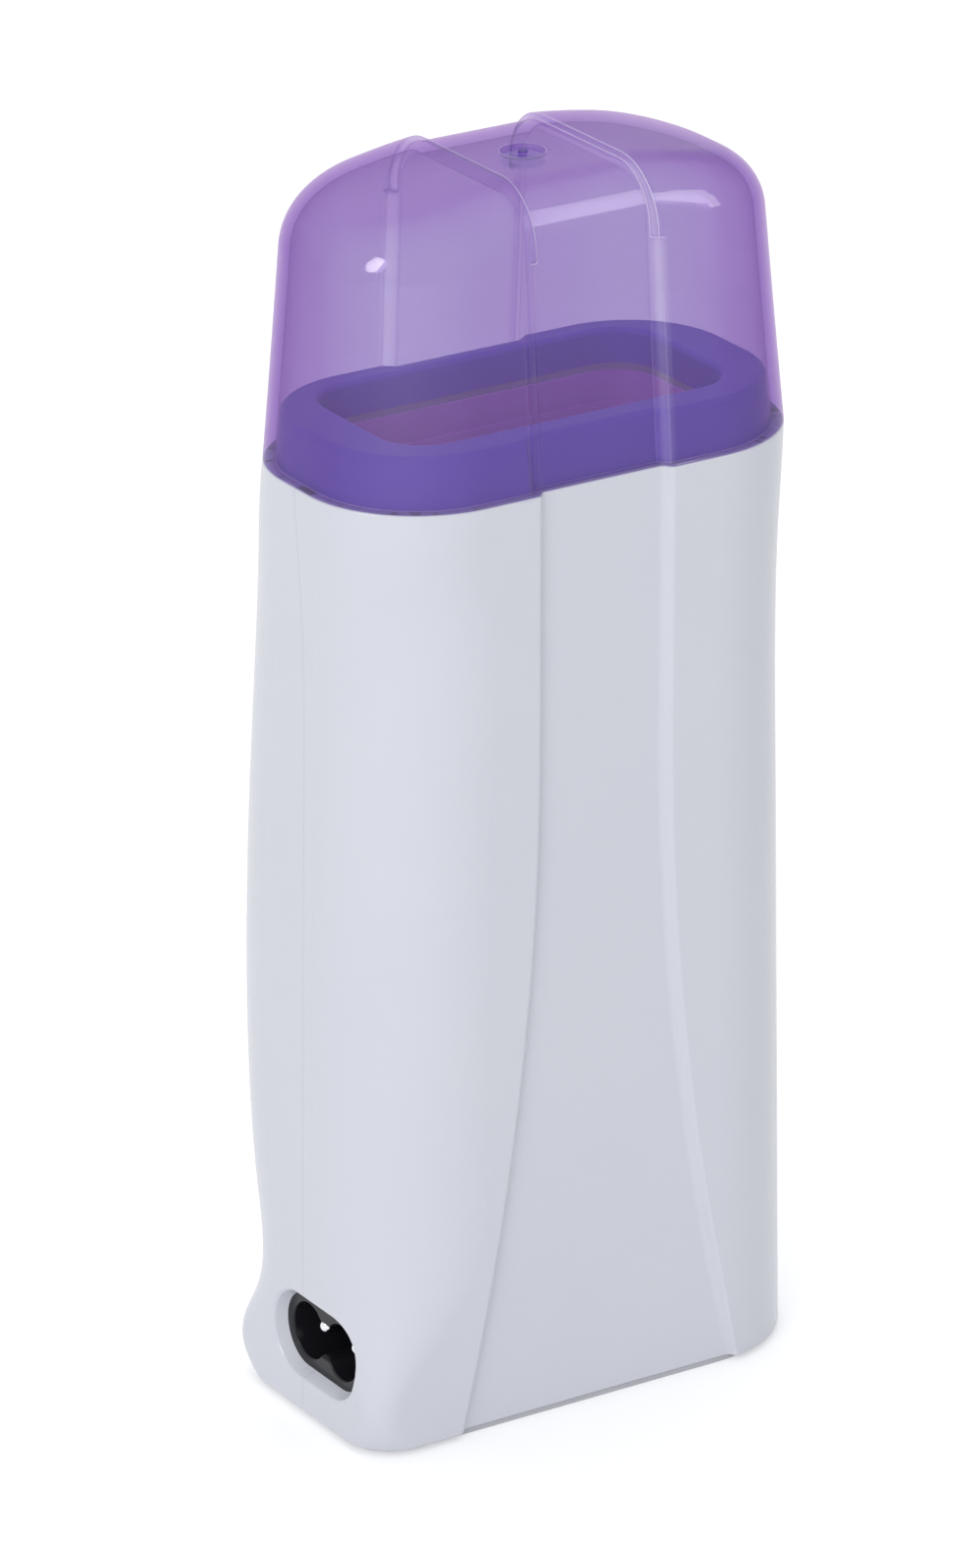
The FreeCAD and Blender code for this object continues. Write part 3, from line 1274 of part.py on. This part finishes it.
PIECES = {
    "front_shell": front_shell,
    "back_shell": back_shell,
    "foot_pad": foot_pad,
    "case_screws": case_screws,
    "heating_chamber": heating_chamber,
    "chamber_gasket": chamber_gasket,
    "chamber_cradle": chamber_cradle,
    "mouth_frame": mouth_frame,
    "ptc_heater": ptc_heater,
    "heater_strap": heater_strap,
    "strap_screws": strap_screws,
    "thermostat": thermostat,
    "thermal_fuse": thermal_fuse,
    "crimp_sleeves": crimp_sleeves,
    "insulation_felt": insulation_felt,
    "inlet_socket": inlet_socket,
    "inlet_pins": inlet_pins,
    "terminal_receptacles": terminal_receptacles,
    "neutral_lead": neutral_lead,
    "live_lead": live_lead,
    "link_lead": link_lead,
    "return_lead": return_lead,
    "cap": cap,
}
finished = []
for node, feature in PIECES.items():
    feature.Label = f"{node}_form"
    piece = doc.addObject("Part::Compound", f"placed_{node}")
    piece.Label = node
    piece.Links = [feature]
    piece.setExpression("Placement.Base.z", "dims.foot_thickness")
    finished.append(piece)
doc.recompute()

for feature in doc.Objects:
    if "Invalid" in feature.State or "Error" in feature.State:
        raise RuntimeError(f"{feature.Name} did not build: {feature.State}")
for piece in finished:
    if piece.Shape.isNull() or not piece.Shape.isValid() or not piece.Shape.Solids:
        raise RuntimeError(f"{piece.Label} is not a sound solid")

os.makedirs("parts", exist_ok=True)
for piece in finished:
    piece.Shape.exportStep(f"parts/{piece.Label}.step")
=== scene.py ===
import math

import bpy
from mathutils import Matrix, Vector

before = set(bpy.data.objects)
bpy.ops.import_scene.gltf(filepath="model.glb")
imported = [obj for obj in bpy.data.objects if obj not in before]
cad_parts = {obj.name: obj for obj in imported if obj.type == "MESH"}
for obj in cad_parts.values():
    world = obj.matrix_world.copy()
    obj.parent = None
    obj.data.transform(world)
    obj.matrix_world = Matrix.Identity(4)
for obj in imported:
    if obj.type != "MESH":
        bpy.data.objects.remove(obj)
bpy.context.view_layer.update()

MM = 0.001
WHITE = (1.0, 1.0, 1.0)
scene = bpy.context.scene


# ------------------------------------------------------------------ camera

AIM = Vector((-0.0047, 0.0030, 0.0869))
AZIMUTH = math.radians(-31.84)
ELEVATION = math.radians(22.12)
ROLL = math.radians(-0.49)
DISTANCE = 1.1956
LENS = 198.84


def make_camera():
    """The camera, looking at the middle of the heater."""
    back = Vector((
        math.sin(AZIMUTH) * math.cos(ELEVATION),
        -math.cos(AZIMUTH) * math.cos(ELEVATION),
        math.sin(ELEVATION),
    ))
    data = bpy.data.cameras.new("camera")
    data.lens = LENS
    camera = bpy.data.objects.new("camera", data)
    scene.collection.objects.link(camera)
    turn = (-back).to_track_quat("-Z", "Y").to_matrix() @ Matrix.Rotation(ROLL, 3, "Z")
    camera.matrix_world = Matrix.Translation(AIM + back * DISTANCE) @ turn.to_4x4()
    scene.camera = camera


# -------------------------------------------------------------- node trees

def new_tree(owner, output_kind="ShaderNodeOutputMaterial"):
    """The owner's emptied node tree, with its output."""
    owner.use_nodes = True
    tree = owner.node_tree
    tree.nodes.clear()
    return tree, tree.nodes.new(output_kind)


def node(tree, kind, *sources, **values):
    """A new node: its first inputs linked to the sources, its settings set by name."""
    made = tree.nodes.new(kind)
    for name, value in values.items():
        setattr(made, name, value)
    for index, source in enumerate(sources):
        if source is not None:
            tree.links.new(source, made.inputs[index])
    return made


def plug(tree, source, socket):
    """Set a socket to a number, or link another socket to it."""
    if isinstance(source, (int, float)):
        socket.default_value = source
    else:
        tree.links.new(source, socket)


def maths(tree, operation, *sources):
    """A Math node on the sources, which are sockets or numbers."""
    made = node(tree, "ShaderNodeMath", operation=operation)
    for index, source in enumerate(sources):
        plug(tree, source, made.inputs[index])
    return made.outputs[0]


def ramp(tree, field, start, end, low=0.0, high=1.0, **values):
    """The field mapped from start..end to low..high, level outside."""
    ranged = node(tree, "ShaderNodeMapRange", field, **values)
    ranged.inputs["From Min"].default_value = start
    ranged.inputs["From Max"].default_value = end
    ranged.inputs["To Min"].default_value = low
    ranged.inputs["To Max"].default_value = high
    return ranged.outputs[0]


def tinted(tree, kind, colour, **inputs):
    """A shader of a colour, with its other inputs set by name."""
    made = node(tree, kind)
    made.inputs["Color"].default_value = (*colour, 1.0)
    for name, value in inputs.items():
        made.inputs[name].default_value = value
    return made.outputs[0]


def blend(tree, share, first, second):
    """Two shaders mixed; the share, a socket or a number, is the second's."""
    made = node(tree, "ShaderNodeMixShader", None, first, second)
    plug(tree, share, made.inputs["Fac"])
    return made.outputs[0]


def seen_rays(tree):
    """1 for rays from the camera, a reflection or clear plastic, else 0."""
    path = node(tree, "ShaderNodeLightPath")
    first = maths(tree, "MAXIMUM", path.outputs["Is Camera Ray"], path.outputs["Is Glossy Ray"])
    return maths(tree, "MAXIMUM", first, path.outputs["Is Transmission Ray"])


# ------------------------------------------------------------------- stage

ROOM_TONE = (0.97, 0.98, 1.0)
ROOM_LEVEL = 0.64
FLOOR_TONE = (0.86, 0.86, 0.87)
FLOOR_LIFT = 0.35
FLOOR_REACH = 4.0
LIT_POINT = Vector((0.0, 0.0, 0.12))


def make_world():
    """A plain light grey room that is seen as white."""
    world = bpy.data.worlds.new("studio")
    scene.world = world
    tree, output = new_tree(world, "ShaderNodeOutputWorld")
    room = tinted(tree, "ShaderNodeBackground", ROOM_TONE, Strength=ROOM_LEVEL)
    white = tinted(tree, "ShaderNodeBackground", WHITE)
    tree.links.new(blend(tree, seen_rays(tree), room, white), output.inputs["Surface"])


def make_floor():
    """A pale floor that is seen as white, but for the heater's shadow."""
    mesh = bpy.data.meshes.new("floor")
    side = FLOOR_REACH
    corners = [(-side, -side, 0), (side, -side, 0), (side, side, 0), (-side, side, 0)]
    mesh.from_pydata(corners, [], [(0, 1, 2, 3)])
    floor = bpy.data.objects.new("floor", mesh)
    scene.collection.objects.link(floor)
    look = bpy.data.materials.new("floor")
    tree, output = new_tree(look)
    paint = tinted(tree, "ShaderNodeBsdfDiffuse", FLOOR_TONE)
    lift = tinted(tree, "ShaderNodeEmission", WHITE, Strength=FLOOR_LIFT)
    raised = node(tree, "ShaderNodeAddShader", paint, lift).outputs[0]
    tree.links.new(blend(tree, seen_rays(tree), paint, raised), output.inputs["Surface"])
    mesh.materials.append(look)


def soft_box(name, direction, distance, size, power, only, level_with=None, shape="RECTANGLE"):
    """A lamp that faces the heater; only names the one kind of light it gives.

    Its width lies level, or along the direction that level_with gives.
    """
    data = bpy.data.lights.new(name, "AREA")
    data.shape = shape
    data.size, data.size_y = size
    data.energy = power
    lamp = bpy.data.objects.new(name, data)
    scene.collection.objects.link(lamp)
    way = Vector(direction).normalized()
    lamp.location = LIT_POINT + way * distance
    lamp.rotation_mode = "QUATERNION"
    lamp.rotation_quaternion = (-way).to_track_quat("-Z", "Y")
    if level_with is not None:
        tall = way.cross(Vector(level_with)).normalized()
        wide = tall.cross(way)
        lamp.rotation_quaternion = Matrix((wide, tall, way)).transposed().to_quaternion()
    lamp.visible_glossy = only == "glossy"
    lamp.visible_diffuse = only == "diffuse"


scene.view_settings.view_transform = "Standard"
make_camera()
make_world()
make_floor()
soft_box("key", (-0.75, -0.62, 0.35), distance=1.6, size=(1.1, 1.1), power=9.0, only="diffuse")
soft_box("top", (0.1, 0.25, 1.0), distance=1.5, size=(0.9, 0.7), power=4.2, only="diffuse")
soft_box("window", (-0.88, -0.15, 0.46), distance=1.2, size=(0.28, 0.50), power=3.6,
         only="glossy", shape="ELLIPSE")
soft_box("strip", (0.66, -0.60, 0.45), distance=1.3, size=(0.26, 0.52), power=2.0, only="glossy")
soft_box("crown_strip", (0.503, -0.62, 0.60), distance=1.3, size=(0.07, 0.60), power=0.5,
         only="glossy", level_with=(1, 0, 0))


# ------------------------------------------------- what materials are made of

EVEN = (1, 1, 1)
NOISE_SPAN = (0.2, 0.8)


def material(name):
    """A new material, its tree and its Principled skin."""
    made = bpy.data.materials.new(name)
    tree, output = new_tree(made)
    skin = node(tree, "ShaderNodeBsdfPrincipled")
    tree.links.new(skin.outputs[0], output.inputs["Surface"])
    return made, tree, skin


def dress(tree, skin, colour, roughness, normal):
    """Give a skin its colour, roughness and relief."""
    tree.links.new(colour, skin.inputs["Base Color"])
    plug(tree, roughness, skin.inputs["Roughness"])
    tree.links.new(normal, skin.inputs["Normal"])


def noise(tree, size, detail=2.0, stretch=EVEN):
    """Smooth noise with features of a size in metres, in the heater's frame."""
    place = node(tree, "ShaderNodeTexCoord").outputs["Object"]
    if stretch != EVEN:
        mapping = node(tree, "ShaderNodeMapping", place)
        mapping.inputs["Scale"].default_value = stretch
        place = mapping.outputs[0]
    field = node(tree, "ShaderNodeTexNoise", place)
    field.inputs["Scale"].default_value = 1.0 / size
    field.inputs["Detail"].default_value = detail
    return field.outputs["Fac"]


def spread(tree, field, low, high):
    """The noise field stretched to low..high."""
    return ramp(tree, field, *NOISE_SPAN, low, high)


def two_tone(tree, field, dark, light):
    """Colour that drifts between two tones with the noise field."""
    tones = node(tree, "ShaderNodeValToRGB", field)
    for stop, place, tone in zip(tones.color_ramp.elements, NOISE_SPAN, (dark, light)):
        stop.position = place
        stop.color = (*tone, 1.0)
    return tones.outputs[0]


def relief(tree, field, depth, strength, under=None):
    """The normal of a bump of a depth in metres, over another normal if one is given."""
    bump = node(tree, "ShaderNodeBump")
    bump.inputs["Strength"].default_value = strength
    bump.inputs["Distance"].default_value = depth
    tree.links.new(field, bump.inputs["Height"])
    if under is not None:
        tree.links.new(under, bump.inputs["Normal"])
    return bump.outputs[0]


# -------------------------------------------------------- opaque materials

PLASTIC_IOR = 1.52
FLOW_SIZE = 30.0 * MM
GLOSS_SIZE = 6.0 * MM
SINK_SIZE = 4.0 * MM
SINK_DEPTH = 0.02 * MM
SINK_STRENGTH = 0.15

SHELL_GLOSS_SIZE = 12.0 * MM
SEAM_HALF = 0.10 * MM
SEAM_TONE = (0.60, 0.615, 0.67)
SEAM_STRENGTH = 0.3

MILL_SIZE = 8.0 * MM
SCRATCH_SIZE = 0.6 * MM
SPANGLE_SIZE = 1.5 * MM
SCRATCH_DEPTH = 0.01 * MM
SCRATCH_STRENGTH = 0.4
DRAWN_ALONG_X = (0.05, 1, 1)
DRAWN_ALONG_Z = (1, 1, 0.05)

RUBBER_TONE_SIZE = 10.0 * MM
RUBBER_GLOSS_SIZE = 1.5 * MM
RUBBER_GRAIN_SIZE = 0.4 * MM
RUBBER_GRAIN_DEPTH = 0.03 * MM
RUBBER_GRAIN_STRENGTH = 0.5
BLOOM_ROUGHNESS = 0.5

FIBRE_SIZE = 1.2 * MM
FIBRE_STRETCH = (1.0, 1.0, 0.25)
FIBRE_TONES = ((0.56, 0.54, 0.47), (0.86, 0.84, 0.78))
FIBRE_ROUGHNESS = 0.95
FIBRE_DEPTH = 0.4 * MM
FIBRE_STRENGTH = 0.8
FIBRE_SHEEN = 0.4
FIBRE_SHEEN_ROUGHNESS = 0.6


def moulded(name, dark, light, gloss, ior=PLASTIC_IOR):
    """Moulded plastic: faint flow tones, a shallow sink ripple and uneven gloss."""
    made, tree, skin = material(name)
    dress(
        tree, skin,
        two_tone(tree, noise(tree, FLOW_SIZE, 3.0), dark, light),
        spread(tree, noise(tree, GLOSS_SIZE, 4.0), *gloss),
        relief(tree, noise(tree, SINK_SIZE), SINK_DEPTH, SINK_STRENGTH),
    )
    skin.inputs["IOR"].default_value = ior
    return made


def split_shell(name, dark, light, gloss):
    """The case's glossy white, with the hairline joint where the two shells meet."""
    made, tree, skin = material(name)
    place = node(tree, "ShaderNodeTexCoord").outputs["Object"]
    across = node(tree, "ShaderNodeSeparateXYZ", place).outputs["Y"]
    off_seam = ramp(
        tree, maths(tree, "ABSOLUTE", across), SEAM_HALF / 2, SEAM_HALF,
        interpolation_type="SMOOTHSTEP",
    )
    tone = node(tree, "ShaderNodeMix", data_type="RGBA")
    seam_colour, white_colour = tone.inputs[6], tone.inputs[7]
    seam_colour.default_value = (*SEAM_TONE, 1.0)
    tree.links.new(off_seam, tone.inputs[0])
    tree.links.new(two_tone(tree, noise(tree, FLOW_SIZE, 3.0), dark, light), white_colour)
    groove = relief(tree, off_seam, SEAM_HALF, SEAM_STRENGTH)
    dress(
        tree, skin,
        tone.outputs[2],
        spread(tree, noise(tree, SHELL_GLOSS_SIZE), *gloss),
        relief(tree, noise(tree, SINK_SIZE), SINK_DEPTH, SINK_STRENGTH, under=groove),
    )
    skin.inputs["IOR"].default_value = PLASTIC_IOR
    return made


def metal(name, dark, light, gloss, stretch=EVEN, scratch=SCRATCH_SIZE, purity=1.0):
    """Metal with drawn or rolled marks, long where the stretch is small."""
    made, tree, skin = material(name)
    marks = noise(tree, scratch, 3.0, stretch)
    dress(
        tree, skin,
        two_tone(tree, noise(tree, MILL_SIZE, 3.0, stretch), dark, light),
        spread(tree, marks, *gloss),
        relief(tree, marks, SCRATCH_DEPTH, SCRATCH_STRENGTH),
    )
    skin.inputs["Metallic"].default_value = purity
    return made


def soft_rubber(name, dark, light, gloss=(0.5, 0.65), bloom=0.15):
    """Rubber or silicone: matt, with a faint pale bloom."""
    made, tree, skin = material(name)
    dress(
        tree, skin,
        two_tone(tree, noise(tree, RUBBER_TONE_SIZE, 4.0), dark, light),
        spread(tree, noise(tree, RUBBER_GLOSS_SIZE, 3.0), *gloss),
        relief(tree, noise(tree, RUBBER_GRAIN_SIZE), RUBBER_GRAIN_DEPTH, RUBBER_GRAIN_STRENGTH),
    )
    skin.inputs["Sheen Weight"].default_value = bloom
    skin.inputs["Sheen Roughness"].default_value = BLOOM_ROUGHNESS
    return made


def glass_felt(name):
    """Needled glass-fibre felt: tangled fibres, uneven loft, soft sheen."""
    made, tree, skin = material(name)
    fibres = noise(tree, FIBRE_SIZE, 8.0, FIBRE_STRETCH)
    dress(
        tree, skin,
        two_tone(tree, fibres, *FIBRE_TONES),
        FIBRE_ROUGHNESS,
        relief(tree, fibres, FIBRE_DEPTH, FIBRE_STRENGTH),
    )
    skin.inputs["Sheen Weight"].default_value = FIBRE_SHEEN
    skin.inputs["Sheen Roughness"].default_value = FIBRE_SHEEN_ROUGHNESS
    return made


# ------------------------------------------------------- the cap's plastic

CAP_VIOLET = (0.60, 0.36, 0.80)
CAP_DENSITY = 150.0
SEEN_TINT = (0.840, 0.834, 0.910)
SLANT_TINT = (0.78, 0.64, 0.85)
LAMP_TINT = (0.68, 0.61, 0.84)

CAP_RIPPLE_SIZE = 11.0 * MM
CAP_RIPPLE_DEPTH = 0.4 * MM
CAP_RIPPLE_STRENGTH = 0.05
CAP_SHINE_ROUGHNESS = 0.07
CAP_SHINE_SHARES = (0.04, 0.5)
CAP_SHINE_POWER = 5.0
HAZE_SHARE = 0.05
HAZE_ROUGHNESS = 0.5

BEVEL_SAMPLES = 6
BEVEL_TURN = (0.99, 0.80)
# Painted highlight: a pale diffuse line along each edge of the cap.
PAINTED_HIGHLIGHT_TONE = (0.86, 0.80, 0.98)
PAINTED_HIGHLIGHT_WIDTH = 0.6 * MM
PAINTED_HIGHLIGHT_SHARE = 0.75
# Painted shade: a darker violet band beside each edge of the cap.
PAINTED_SHADE_TINT = (0.52, 0.42, 0.72)
PAINTED_SHADE_WIDTH = 1.3 * MM
PAINTED_SHADE_SHARE = 0.7

# Painted light: pale bands on the channel's sides, with a little painted highlight.
CHANNEL_REACH = 11.5 * MM
CHANNEL_MARGIN = 1.0 * MM
PAINTED_BAND_LEAN = (0.2, 0.7)
PAINTED_BAND_SHARE = 0.65
PAINTED_BAND_HIGHLIGHT = 0.12

# Painted shade: the gate's dimple is tinted darker.
DIMPLE_SHADE_TINT = (0.58, 0.50, 0.78)
GATE_REACH = 3.3 * MM
GATE_MARGIN = 0.5 * MM
GATE_LEVEL = 176.0 * MM


def near_edge(tree, width, share):
    """How much a point lies within a width of an edge, up to a share."""
    soft = node(tree, "ShaderNodeBevel", samples=BEVEL_SAMPLES)
    soft.inputs["Radius"].default_value = width
    plain = node(tree, "ShaderNodeNewGeometry")
    same = node(
        tree, "ShaderNodeVectorMath", soft.outputs[0], plain.outputs["Normal"],
        operation="DOT_PRODUCT",
    )
    return ramp(tree, same.outputs["Value"], *BEVEL_TURN, 0.0, share)


def painted_channel_bands(tree):
    """How much a point lies on a side of the cap's channel, where a pale band of painted light
    goes.
    """
    place = node(tree, "ShaderNodeTexCoord")
    way = node(tree, "ShaderNodeSeparateXYZ", place.outputs["Normal"])
    where = node(tree, "ShaderNodeSeparateXYZ", place.outputs["Object"])
    lean = maths(tree, "ABSOLUTE", way.outputs["X"])
    across = maths(tree, "ABSOLUTE", where.outputs["X"])
    inside = ramp(tree, across, CHANNEL_REACH + CHANNEL_MARGIN, CHANNEL_REACH)
    return maths(tree, "MULTIPLY", ramp(tree, lean, *PAINTED_BAND_LEAN, 0.0, PAINTED_BAND_SHARE), inside)


def gate_dimple(tree):
    """How much a point lies in the dimple that the mould's gate leaves on the crown."""
    place = node(tree, "ShaderNodeTexCoord").outputs["Object"]
    where = node(tree, "ShaderNodeSeparateXYZ", place)
    flat = node(tree, "ShaderNodeCombineXYZ", where.outputs["X"], where.outputs["Y"])
    reach = node(tree, "ShaderNodeVectorMath", flat.outputs[0], operation="LENGTH")
    disc = ramp(tree, reach.outputs["Value"], GATE_REACH, GATE_REACH - GATE_MARGIN)
    crown = maths(tree, "GREATER_THAN", where.outputs["Z"], GATE_LEVEL)
    return maths(tree, "MULTIPLY", disc, crown)


def clear_violet(name):
    """Clear violet plastic, built up from the bare plastic to its polish.

    It tints what is seen through it, more at a slant, and is slightly hazy. Painted light:
    pale bands on the channel's sides, a painted highlight beside painted shade at each edge,
    and painted shade in the gate's dimple.
    """
    made = bpy.data.materials.new(name)
    tree, output = new_tree(made)
    ripple = relief(
        tree, noise(tree, CAP_RIPPLE_SIZE, 1.0), CAP_RIPPLE_DEPTH, CAP_RIPPLE_STRENGTH
    )
    weight = node(tree, "ShaderNodeLayerWeight")
    tree.links.new(ripple, weight.inputs["Normal"])
    slant = weight.outputs["Facing"]

    seen, slanted, bare, painted_shade, dimple_shade, lamp_lit = (
        tinted(tree, "ShaderNodeBsdfTransparent", tint)
        for tint in (SEEN_TINT, SLANT_TINT, WHITE, PAINTED_SHADE_TINT, DIMPLE_SHADE_TINT, LAMP_TINT)
    )
    painted_highlight = tinted(tree, "ShaderNodeBsdfDiffuse", PAINTED_HIGHLIGHT_TONE)
    haze = node(tree, "ShaderNodeBsdfPrincipled")
    haze.inputs["Base Color"].default_value = (*CAP_VIOLET, 1.0)
    haze.inputs["Roughness"].default_value = HAZE_ROUGHNESS
    shine = node(tree, "ShaderNodeBsdfGlossy")
    shine.inputs["Roughness"].default_value = CAP_SHINE_ROUGHNESS
    tree.links.new(ripple, shine.inputs["Normal"])

    gate = gate_dimple(tree)
    # Painted shade and painted highlights along the edges, left out of the gate's dimple.
    painted_shades = maths(tree, "SUBTRACT", near_edge(tree, PAINTED_SHADE_WIDTH, PAINTED_SHADE_SHARE), gate)
    painted_highlights = maths(tree, "SUBTRACT", near_edge(tree, PAINTED_HIGHLIGHT_WIDTH, PAINTED_HIGHLIGHT_SHARE), gate)
    polish = ramp(tree, maths(tree, "POWER", slant, CAP_SHINE_POWER), 0.0, 1.0, *CAP_SHINE_SHARES)

    skin = blend(tree, slant, seen, slanted)
    skin = blend(tree, HAZE_SHARE, skin, haze.outputs[0])
    # Painted light bands on the channel's sides, with a little painted highlight.
    skin = blend(tree, painted_channel_bands(tree), skin, blend(tree, PAINTED_BAND_HIGHLIGHT, bare, painted_highlight))
    # Painted shade beside the edges, a painted highlight on them, painted shade in the dimple.
    skin = blend(tree, painted_shades, skin, painted_shade)
    skin = blend(tree, painted_highlights, skin, painted_highlight)
    skin = blend(tree, gate, skin, dimple_shade)
    skin = blend(tree, polish, skin, shine.outputs[0])
    skin = blend(tree, seen_rays(tree), lamp_lit, skin)
    tree.links.new(skin, output.inputs["Surface"])
    depth = tinted(tree, "ShaderNodeVolumeAbsorption", CAP_VIOLET, Density=CAP_DENSITY)
    tree.links.new(depth, output.inputs["Volume"])
    return made


# ----------------------------------------------------------- piece by piece

shell_white = split_shell("shell_white", (0.675, 0.69, 0.755), (0.695, 0.71, 0.77),
                          gloss=(0.24, 0.27))
# Painted shade: the neck's dark violet stands for the dim, violet light that reaches it under the
# cap.
neck_painted_shade_violet = moulded("neck_painted_shade_violet", (0.265, 0.165, 0.64), (0.285, 0.185, 0.67),
                      gloss=(0.28, 0.36), ior=1.25)
black_mould = moulded("black_mould", (0.010, 0.010, 0.013), (0.018, 0.018, 0.023),
                      gloss=(0.10, 0.20), ior=1.3)
phenolic = moulded("phenolic", (0.012, 0.012, 0.013), (0.03, 0.03, 0.032), gloss=(0.35, 0.5))
nylon = moulded("nylon", (0.60, 0.57, 0.49), (0.68, 0.66, 0.58), gloss=(0.4, 0.5))
rose_metal = metal("rose_metal", (0.82, 0.40, 0.84), (0.92, 0.48, 0.92), gloss=(0.45, 0.6),
                   stretch=DRAWN_ALONG_Z, purity=0.3)
bright_pin = metal("bright_pin", (0.80, 0.80, 0.81), (0.92, 0.92, 0.93), gloss=(0.06, 0.16),
                   stretch=(0.1, 1, 1))
extruded = metal("extruded", (0.62, 0.63, 0.65), (0.74, 0.75, 0.77), gloss=(0.3, 0.45),
                 stretch=DRAWN_ALONG_Z)
strip_steel = metal("strip_steel", (0.42, 0.43, 0.45), (0.56, 0.57, 0.60), gloss=(0.25, 0.4),
                    stretch=DRAWN_ALONG_X)
zinc = metal("zinc", (0.55, 0.56, 0.55), (0.72, 0.72, 0.68), gloss=(0.3, 0.5),
             scratch=SPANGLE_SIZE)
can_metal = metal("can_metal", (0.62, 0.62, 0.62), (0.76, 0.76, 0.75), gloss=(0.25, 0.35),
                  stretch=(1, 1, 0.1))
tinned = metal("tinned", (0.60, 0.54, 0.34), (0.74, 0.68, 0.46), gloss=(0.25, 0.45))
foot_rubber = soft_rubber("foot_rubber", (0.48, 0.48, 0.52), (0.54, 0.54, 0.58))
seal_rubber = soft_rubber("seal_rubber", (0.38, 0.36, 0.42), (0.44, 0.42, 0.48))
lead_white = soft_rubber("lead_white", (0.66, 0.64, 0.57), (0.74, 0.72, 0.66),
                         gloss=(0.35, 0.5), bloom=0.05)
lead_blue = soft_rubber("lead_blue", (0.02, 0.07, 0.30), (0.03, 0.10, 0.38),
                        gloss=(0.35, 0.5), bloom=0.05)
lead_brown = soft_rubber("lead_brown", (0.09, 0.03, 0.012), (0.13, 0.045, 0.02),
                         gloss=(0.35, 0.5), bloom=0.05)

looks = {
    "front_shell": shell_white,
    "back_shell": shell_white,
    "mouth_frame": neck_painted_shade_violet,
    "cap": clear_violet("clear_violet"),
    "foot_pad": foot_rubber,
    "heating_chamber": rose_metal,
    "chamber_gasket": seal_rubber,
    "chamber_cradle": nylon,
    "ptc_heater": extruded,
    "heater_strap": strip_steel,
    "strap_screws": zinc,
    "case_screws": zinc,
    "thermostat": phenolic,
    "thermal_fuse": can_metal,
    "crimp_sleeves": tinned,
    "insulation_felt": glass_felt("glass_felt"),
    "inlet_socket": black_mould,
    "inlet_pins": bright_pin,
    "terminal_receptacles": tinned,
    "neutral_lead": lead_blue,
    "live_lead": lead_brown,
    "link_lead": lead_white,
    "return_lead": lead_white,
}
for name, look in looks.items():
    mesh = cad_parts[name].data
    mesh.materials.clear()
    mesh.materials.append(look)
